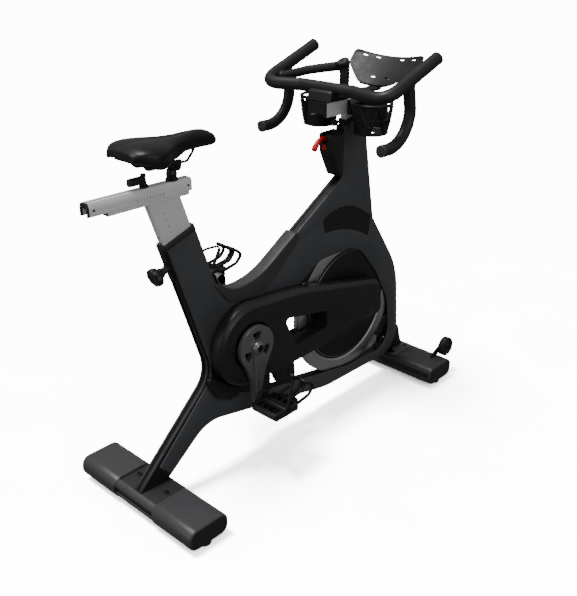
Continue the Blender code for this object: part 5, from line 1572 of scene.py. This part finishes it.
# ---------------------------------------------------------------- handlebar
def handlebar_post():
    bar = cushioned(stadium((0.0, 0.0), 0.066, 0.023, 0.0035), -0.200, 0.0490, 0.001, "Z")
    bar = tilted(bar, HEAD_TOP, HEAD_ANGLE)
    made = piece("bar_post", bar, POST_METAL, "bar_post", ["handlebar_post"], sharp=50)
    cut(made, block((0.5, -0.05, 1.0125), (1.2, 0.05, 1.10)))
    head = cushioned(stadium((0.832, 0.0), 0.160, 0.0516, 0.004), 1.0115, 1.0425, 0.001, "Z")
    piece("bar_post_head", head, RAIL_METAL, "bar_post")


def slider():
    """The channel that slides on the bar post's head, its end pieces and the bars' cradle."""
    outer, inner, bottom, roof = 0.0330, 0.0264, 1.0090, 1.0431
    half = [(inner, roof), (inner, bottom), (outer, bottom), (outer, SLIDER_TOP - 0.003)]
    section = both_sides(half + [(outer - 0.003, SLIDER_TOP)])
    body = prism(section, 0.6960, 0.8980, "X")
    piece("slider_body", body, RAIL_METAL, "bar_carriage", ["handlebar_slider"], bevel=0.0008)
    cap = prism(section, 0.6890, 0.6957, "X")
    piece(
        "slider_cap", cap, BLACK_PLASTIC, "bar_carriage", ["slider_rear_cap"], bevel=0.0012
    )
    fill = block((0.6893, -0.0262, 1.0180), (0.6950, 0.0262, 1.0429))
    piece("slider_cap_fill", fill, BLACK_PLASTIC, "bar_carriage", bevel=0.0008)
    face = [(-0.0325, 1.0440), (0.0325, 1.0440), (0.0325, 1.0515), (-0.0325, 1.0515)]
    front = prism(face, 0.8978, 0.9020, "X")
    piece("slider_front", front, BLACK_PLASTIC, "bar_carriage", bevel=0.0010)
    top = SLIDER_TOP + GAP
    wedge = [(0.690, top, 0.003), (0.795, top, 0.003), (0.772, 1.0850, 0.012), (0.699, 1.0850, 0.012)]
    cradle = cushioned(wedge, -0.0450, 0.0450, 0.0090)
    piece(
        "bar_cradle", cradle, BLACK_PLASTIC, "bar_carriage", ["crossbar_saddle"], sharp=60
    )


def welded(name, meshes, finish, body, covers):
    """Several bars made one skin, with the joins filled and smoothed as on a moulded bar."""
    made = piece(name, joined(*meshes), finish, body, covers)
    skin = made.modifiers.new("skin", "REMESH")
    skin.mode = "VOXEL"
    skin.voxel_size = 0.0028
    soft = made.modifiers.new("soft", "SMOOTH")
    soft.factor = 0.5
    soft.iterations = 8
    bpy.context.view_layer.update()
    graph = bpy.context.evaluated_depsgraph_get()
    result = bpy.data.meshes.new_from_object(made.evaluated_get(graph))
    made.modifiers.clear()
    made.data = result
    result.materials.clear()
    result.materials.append(finish)
    result.shade_smooth()
    return made


def facing(mesh, point, direction):
    """Turns a mesh made along Z to a direction and moves it to a point."""
    turn = Vector((0, 0, 1)).rotation_difference(Vector(direction)).to_matrix().to_4x4()
    bmesh.ops.transform(mesh, matrix=Matrix.Translation(point) @ turn, verts=mesh.verts)
    return mesh


def handlebar():
    radius, drop_radius = 0.0190, 0.0178
    half = 0.235
    tips = {}
    cross = [
        (0.943, -half, 1.172),
        (0.700, -half, 1.081),
        (0.732, -0.100, 1.086),
        (0.732, 0.100, 1.086),
        (0.700, half, 1.081),
        (0.943, half, 1.172),
    ]
    tube = rounded_path(cross, 0.065, 14)
    bars = [swept(tube, radius, 32)]
    for side, hand in HANDS:
        y = side * half
        bend = arc((0.725, 1.042), 0.097, 0.0, -90.0, 24)
        path = [
            (0.8080, y, 1.1150), (0.8160, y, 1.0750), *[(x, y, z) for x, z in bend], (0.6920, y, 0.9450)
        ]
        path = [Vector(point) for point in path]
        bars.append(swept(path, drop_radius, 28))
        tips[f"drop_{hand}"] = (path[-1], (path[-1] - path[-2]).normalized(), drop_radius)
        end, before = (cross[0], cross[1]) if side < 0 else (cross[-1], cross[-2])
        tips[f"tip_{hand}"] = (Vector(end), (Vector(end) - Vector(before)).normalized(), radius)
    brace = rounded_path([(0.766, 0.226, 1.0900), (0.788, 0.120, 1.1200), (STEM_X, 0.0, 1.1430)], 0.3, 10)
    bars.append(swept(brace, 0.0140, 24))
    bars.append(rod(0.0150, SLIDER_TOP + 0.001, 1.152, 32, "Z", (STEM_X, 0.0)))
    crown_way = Vector((-0.42, 0.12, 0.90)).normalized()
    crown_spot = Vector((STEM_X - 0.004, 0.004, 1.150))
    crown = [
        (0, -0.0160), (0.0120, -0.0160), (0.0205, -0.0060), (0.0205, 0.0060), (0.0180, 0.0085), (0, 0.0085)
    ]
    bars.append(facing(turned(crown, 36, "Z"), crown_spot, crown_way))
    welded("bar_tubes", bars, BAR_BLACK, "bar_carriage", ["handlebar"])
    for name, (point, way, size) in tips.items():
        plug = [(0, -0.0060), (size + 0.0002, -0.0060), (size + 0.0003, 0.0), (size - 0.0010, 0.0014)]
        plug += [(size - 0.0030, 0.0018), (0, 0.0018)]
        cap = facing(turned(plug, 40, "Z"), point - way * 0.0012, way)
        piece(f"bar_end_{name}", cap, BAR_END, "bar_carriage")
    across = crown_way.orthogonal().normalized()
    for step in range(3):
        spoke = Matrix.Rotation(math.radians(120.0 * step), 3, crown_way) @ across
        head = [(0, 0.0070), (0.0030, 0.0070), (0.0030, 0.0092), (0.0024, 0.0098), (0, 0.0098)]
        bolt = facing(turned(head, 20, "Z"), crown_spot + spoke * 0.0110, crown_way)
        piece(f"stem_screw_{step}", bolt, BRIGHT_STEEL, "bar_carriage")
    base = SLIDER_TOP + GAP
    skirt = [(0.0152, base), (0.0215, base), (0.0215, 1.0570), (0.0185, 1.0620), (0.0152, 1.0640)]
    skirt = turned(skirt, 48, "Z", (STEM_X, 0.0))
    piece("stem_skirt", skirt, BLACK_PLASTIC, "bar_carriage")


HOLDER_BOTTOM, HOLDER_TOP = Vector((0.953, 0.0, 1.0725)), Vector((1.029, 0.0, 1.160))
HOLDER_HALF = (0.063, 0.134)
HOLDER_UP = (HOLDER_TOP - HOLDER_BOTTOM).normalized()
HOLDER_AWAY = Vector((HOLDER_UP.z, 0.0, -HOLDER_UP.x))


def holder_point(s, t, lift=0.0):
    """A point on the tablet holder: s runs from -1 to 1 across, t from 0 to 1 up."""
    length = (HOLDER_TOP - HOLDER_BOTTOM).length
    shoulder = min(1.0, t / 0.55)
    shoulder -= 0.03 * math.exp(-(((t - 0.55) / 0.08) ** 2))
    half = HOLDER_HALF[0] + (HOLDER_HALF[1] - HOLDER_HALF[0]) * shoulder
    for distance, corner in (((1 - t) * length, 0.014), (t * length, 0.006)):
        if distance < corner:
            half -= corner - math.sqrt(corner**2 - (corner - distance) ** 2)
    dish = 0.022 * (1 - s * s) * (0.5 + 0.5 * t)
    return HOLDER_BOTTOM.lerp(HOLDER_TOP, t) + Vector((0, half * s, 0)) + HOLDER_AWAY * (dish + lift)


def tablet_holder():
    columns, rows = 48, 20
    sheets = []
    for lift in (0.0, 0.0034):
        sheet = []
        for row in range(rows + 1):
            t = 0.5 - 0.5 * math.cos(math.pi * row / rows)
            sheet.append([holder_point(2 * c / columns - 1, t, lift) for c in range(columns + 1)])
        sheets.append(sheet)
    mesh = thick_sheet(*sheets)
    covers = ["tablet_holder"]
    made = piece(
        "holder_tray", mesh, TABLET_BLACK, "bar_carriage", covers, bevel=0.0010, sharp=50
    )
    holder_axes = Matrix((HOLDER_UP, Vector((0, 1, 0)), HOLDER_AWAY)).transposed().to_4x4()
    slots = [(-0.70, 0.90), (-0.34, 0.90), (0.34, 0.90), (0.70, 0.90), (-0.26, 0.27), (0.26, 0.27)]
    for s, t in slots:
        pill = prism(filleted(stadium((0, 0), 0.0050, 0.0170, 0.0023)), -0.010, 0.014, "Z")
        place = Matrix.Translation(holder_point(s, t)) @ holder_axes
        bmesh.ops.transform(pill, matrix=place, verts=pill.verts)
        bmesh.ops.recalc_face_normals(pill, faces=pill.faces)
        cut(made, pill)
    made.data.set_sharp_from_angle(angle=math.radians(50))
    lip = [holder_point(2 * c / 24 - 1, 0.0, 0.0) + Vector((-0.0020, 0.0, 0.0008)) for c in range(1, 24)]
    piece("holder_lip", swept(lip, 0.0044, 14), TABLET_BLACK, "bar_carriage")
    neck = [
        (0.848, 1.0530, 0.002),
        (0.900, 1.0530, 0.006),
        (0.965, 1.0530, 0.012),
        (1.018, 1.0960, 0.003),
        (1.006, 1.1050, 0.001),
        (0.9640, 1.0650, 0.001),
        (0.945, 1.0620, 0.010),
        (0.848, 1.0640, 0.003),
    ]
    arm = cushioned(neck, -0.0210, 0.0210, 0.0040)
    piece("holder_neck", arm, BLACK_PLASTIC, "bar_carriage", sharp=60)


CAGE_X, CAGE_Y = 0.820, 0.100
CAGE_LOW, CAGE_HIGH = (0.0485, 0.957), (0.0610, 1.0425)


def cage_point(side, angle, share, lift=0.0):
    """A point on the cage's cone. Angle 0 is forward, 90 is away from the frame, share 0 the bottom."""
    radius = CAGE_LOW[0] + (CAGE_HIGH[0] - CAGE_LOW[0]) * share**0.85 + lift
    z = CAGE_LOW[1] + (CAGE_HIGH[1] - CAGE_LOW[1]) * share
    turn = math.radians(angle)
    return Vector((CAGE_X + radius * math.cos(turn), side * (CAGE_Y + radius * math.sin(turn)), z))


def bottle_cage(side, hand):
    """A tapering cage: a smooth wall towards the frame and a triangular lattice outside."""
    covers = [f"bottle_cage_{hand}"]
    columns, rows = 36, 8
    start, end = 172.0, 372.0
    sheets = []
    for lift in (0.0, -0.0026):
        sheet = []
        for row in range(rows + 1):
            share = row / rows
            shy = 22.0 * (1 - share)
            spread = [
                start - shy * 0.3 + (end - start + shy * 0.6) * c / columns for c in range(columns + 1)
            ]
            sheet.append([cage_point(side, angle, share, lift) for angle in spread])
        sheets.append(sheet)
    mesh = thick_sheet(*sheets)
    piece(
        f"cage_wall_{hand}", mesh, TABLET_BLACK, "bar_carriage", covers, bevel=0.0008,
        sharp=50,
    )
    for name, share, size in (("top", 1.0, 0.0046), ("low", 0.02, 0.0044), ("mid", 0.50, 0.0030)):
        angles = range(0, 360, 6) if name != "mid" else range(8, 176, 6)
        ring = [cage_point(side, angle, share, -0.0013) for angle in angles]
        hoop = swept(ring, size, 12, closed=name != "mid")
        piece(f"cage_{name}_ring_{hand}", hoop, TABLET_BLACK, "bar_carriage")
    bays = 6
    for step in range(bays):
        left = 6.0 + 172.0 * step / bays
        right = 6.0 + 172.0 * (step + 1) / bays
        low, high = (0.0, 1.0) if step % 2 else (1.0, 0.0)
        strut = []
        for k in range(7):
            share = low + (high - low) * k / 6
            strut.append(cage_point(side, left + (right - left) * k / 6, share, -0.0013))
        piece(f"cage_strut_{step}_{hand}", swept(strut, 0.0052, 12), TABLET_BLACK, "bar_carriage")
    z = CAGE_LOW[1]
    centre = (CAGE_X, side * CAGE_Y)
    floor = washer(CAGE_LOW[0] - 0.0005, 0.0120, z - 0.0020, z + 0.0010, 48, "Z", centre)
    piece(f"cage_floor_{hand}", floor, TABLET_BLACK, "bar_carriage")
    wing = [
        (0.0334, 1.0080, 0.001), (0.0460, 1.0040, 0.004), (0.0530, 1.0430, 0.006), (0.0334, 1.0500, 0.001)
    ]
    corners = [(side * y, z, r) for y, z, r in wing]
    if side < 0:
        corners = corners[::-1]
    arm = cushioned(corners, 0.788, 0.852, 0.0020, "X")
    piece(f"cage_arm_{hand}", arm, BLACK_PLASTIC, "bar_carriage", sharp=60)


# ---------------------------------------------------------------- setting
FLOOR_GAIN = 13.0  # raises the floor's colour until it renders almost white in this light


def paper_floor():
    """A very pale floor out past the picture's top edge. It is kept out of the light on the machine."""
    mesh = bmesh.new()
    bmesh.ops.create_grid(mesh, x_segments=8, y_segments=8, size=40.0)
    data = bpy.data.meshes.new("floor")
    mesh.to_mesh(data)
    mesh.free()
    n = Nodes("floor_paper", 0.85, 0.0)
    paper = n.ramp(n.noise(3.0, 2.0), [(0.35, (0.86, 0.86, 0.86)), (0.65, (0.90, 0.90, 0.90))])
    bright = n.add("ShaderNodeVectorMath", operation="SCALE")
    bright.inputs["Scale"].default_value = FLOOR_GAIN
    n.link(paper, bright.inputs[0])
    n.color(bright.outputs["Vector"])
    n.shader.inputs["Specular IOR Level"].default_value = 0.0
    n.normal(n.bump(n.noise(500.0, 2.0), 0.05, 0.0002))
    data.materials.append(n.material)
    floor = bpy.data.objects.new("floor", data)
    floor.visible_diffuse = False
    floor.visible_glossy = False
    bpy.context.scene.collection.objects.link(floor)


def area_light(name, place, target, size, power):
    data = bpy.data.lights.new(name, "AREA")
    data.shape = "RECTANGLE"
    data.size, data.size_y = size
    data.energy = power
    light = bpy.data.objects.new(name, data)
    light.location = place
    light.rotation_euler = (Vector(target) - Vector(place)).to_track_quat("-Z", "Y").to_euler()
    bpy.context.scene.collection.objects.link(light)


SKY, GROUND = 0.28, 0.11  # light from above and from below the horizon


def studio():
    world = bpy.data.worlds.new("studio")
    world.use_nodes = True
    tree = world.node_tree
    background = tree.nodes["Background"]
    background.inputs["Color"].default_value = (1.0, 1.0, 1.0, 1.0)
    direction = tree.nodes.new("ShaderNodeTexCoord")
    split = tree.nodes.new("ShaderNodeSeparateXYZ")
    tree.links.new(direction.outputs["Generated"], split.inputs["Vector"])
    level = tree.nodes.new("ShaderNodeMapRange")
    level.inputs["From Min"].default_value = -0.15
    level.inputs["From Max"].default_value = 0.25
    level.inputs["To Min"].default_value = GROUND
    level.inputs["To Max"].default_value = SKY
    tree.links.new(split.outputs["Z"], level.inputs["Value"])
    tree.links.new(level.outputs["Result"], background.inputs["Strength"])
    bpy.context.scene.world = world
    aim = (0.0, 0.0, 0.5)
    overhead = bpy.data.lights.new("key", "SUN")
    overhead.energy = 2.9
    overhead.angle = math.radians(16.0)
    key = bpy.data.objects.new("key", overhead)
    key.location = (-0.8, 0.5, 3.6)
    key.rotation_euler = (Vector(aim) - key.location).to_track_quat("-Z", "Y").to_euler()
    bpy.context.scene.collection.objects.link(key)
    area_light("side", (-0.6, -3.2, 1.9), aim, (2.6, 1.8), 20.0)
    area_light("rear", (-3.4, 0.4, 1.0), (0.0, 0.0, 0.4), (1.4, 1.8), 11.0)


def camera():
    data = bpy.data.cameras.new("view")
    data.lens = 48.48
    data.sensor_width = 36.0
    data.sensor_fit = "AUTO"
    made = bpy.data.objects.new("view", data)
    made.location = (-1.6533, -1.5543, 1.4968)
    made.rotation_euler = (math.radians(65.58), 0.0, math.radians(-46.75))
    bpy.context.scene.collection.objects.link(made)
    bpy.context.scene.camera = made


def build():
    frame_core()
    frame_panels()
    leg_ribs()
    swoop_pad()
    collars()
    rear_stabiliser()
    front_stabiliser()
    feet()
    transport_wheels()
    belt_guard()
    guard_ribs()
    stays()
    bottom_bracket()
    pulleys()
    crank_arms()
    pedals()
    flywheel()
    magnet_brake()
    seat_post()
    seat_rails()
    rail_ends()
    saddle_mount()
    saddle()
    seat_lever()
    pull_pins()
    control_pod()
    handlebar_post()
    slider()
    handlebar()
    tablet_holder()
    for side, hand in HANDS:
        bottle_cage(side, hand)


build()
paper_floor()
studio()
camera()
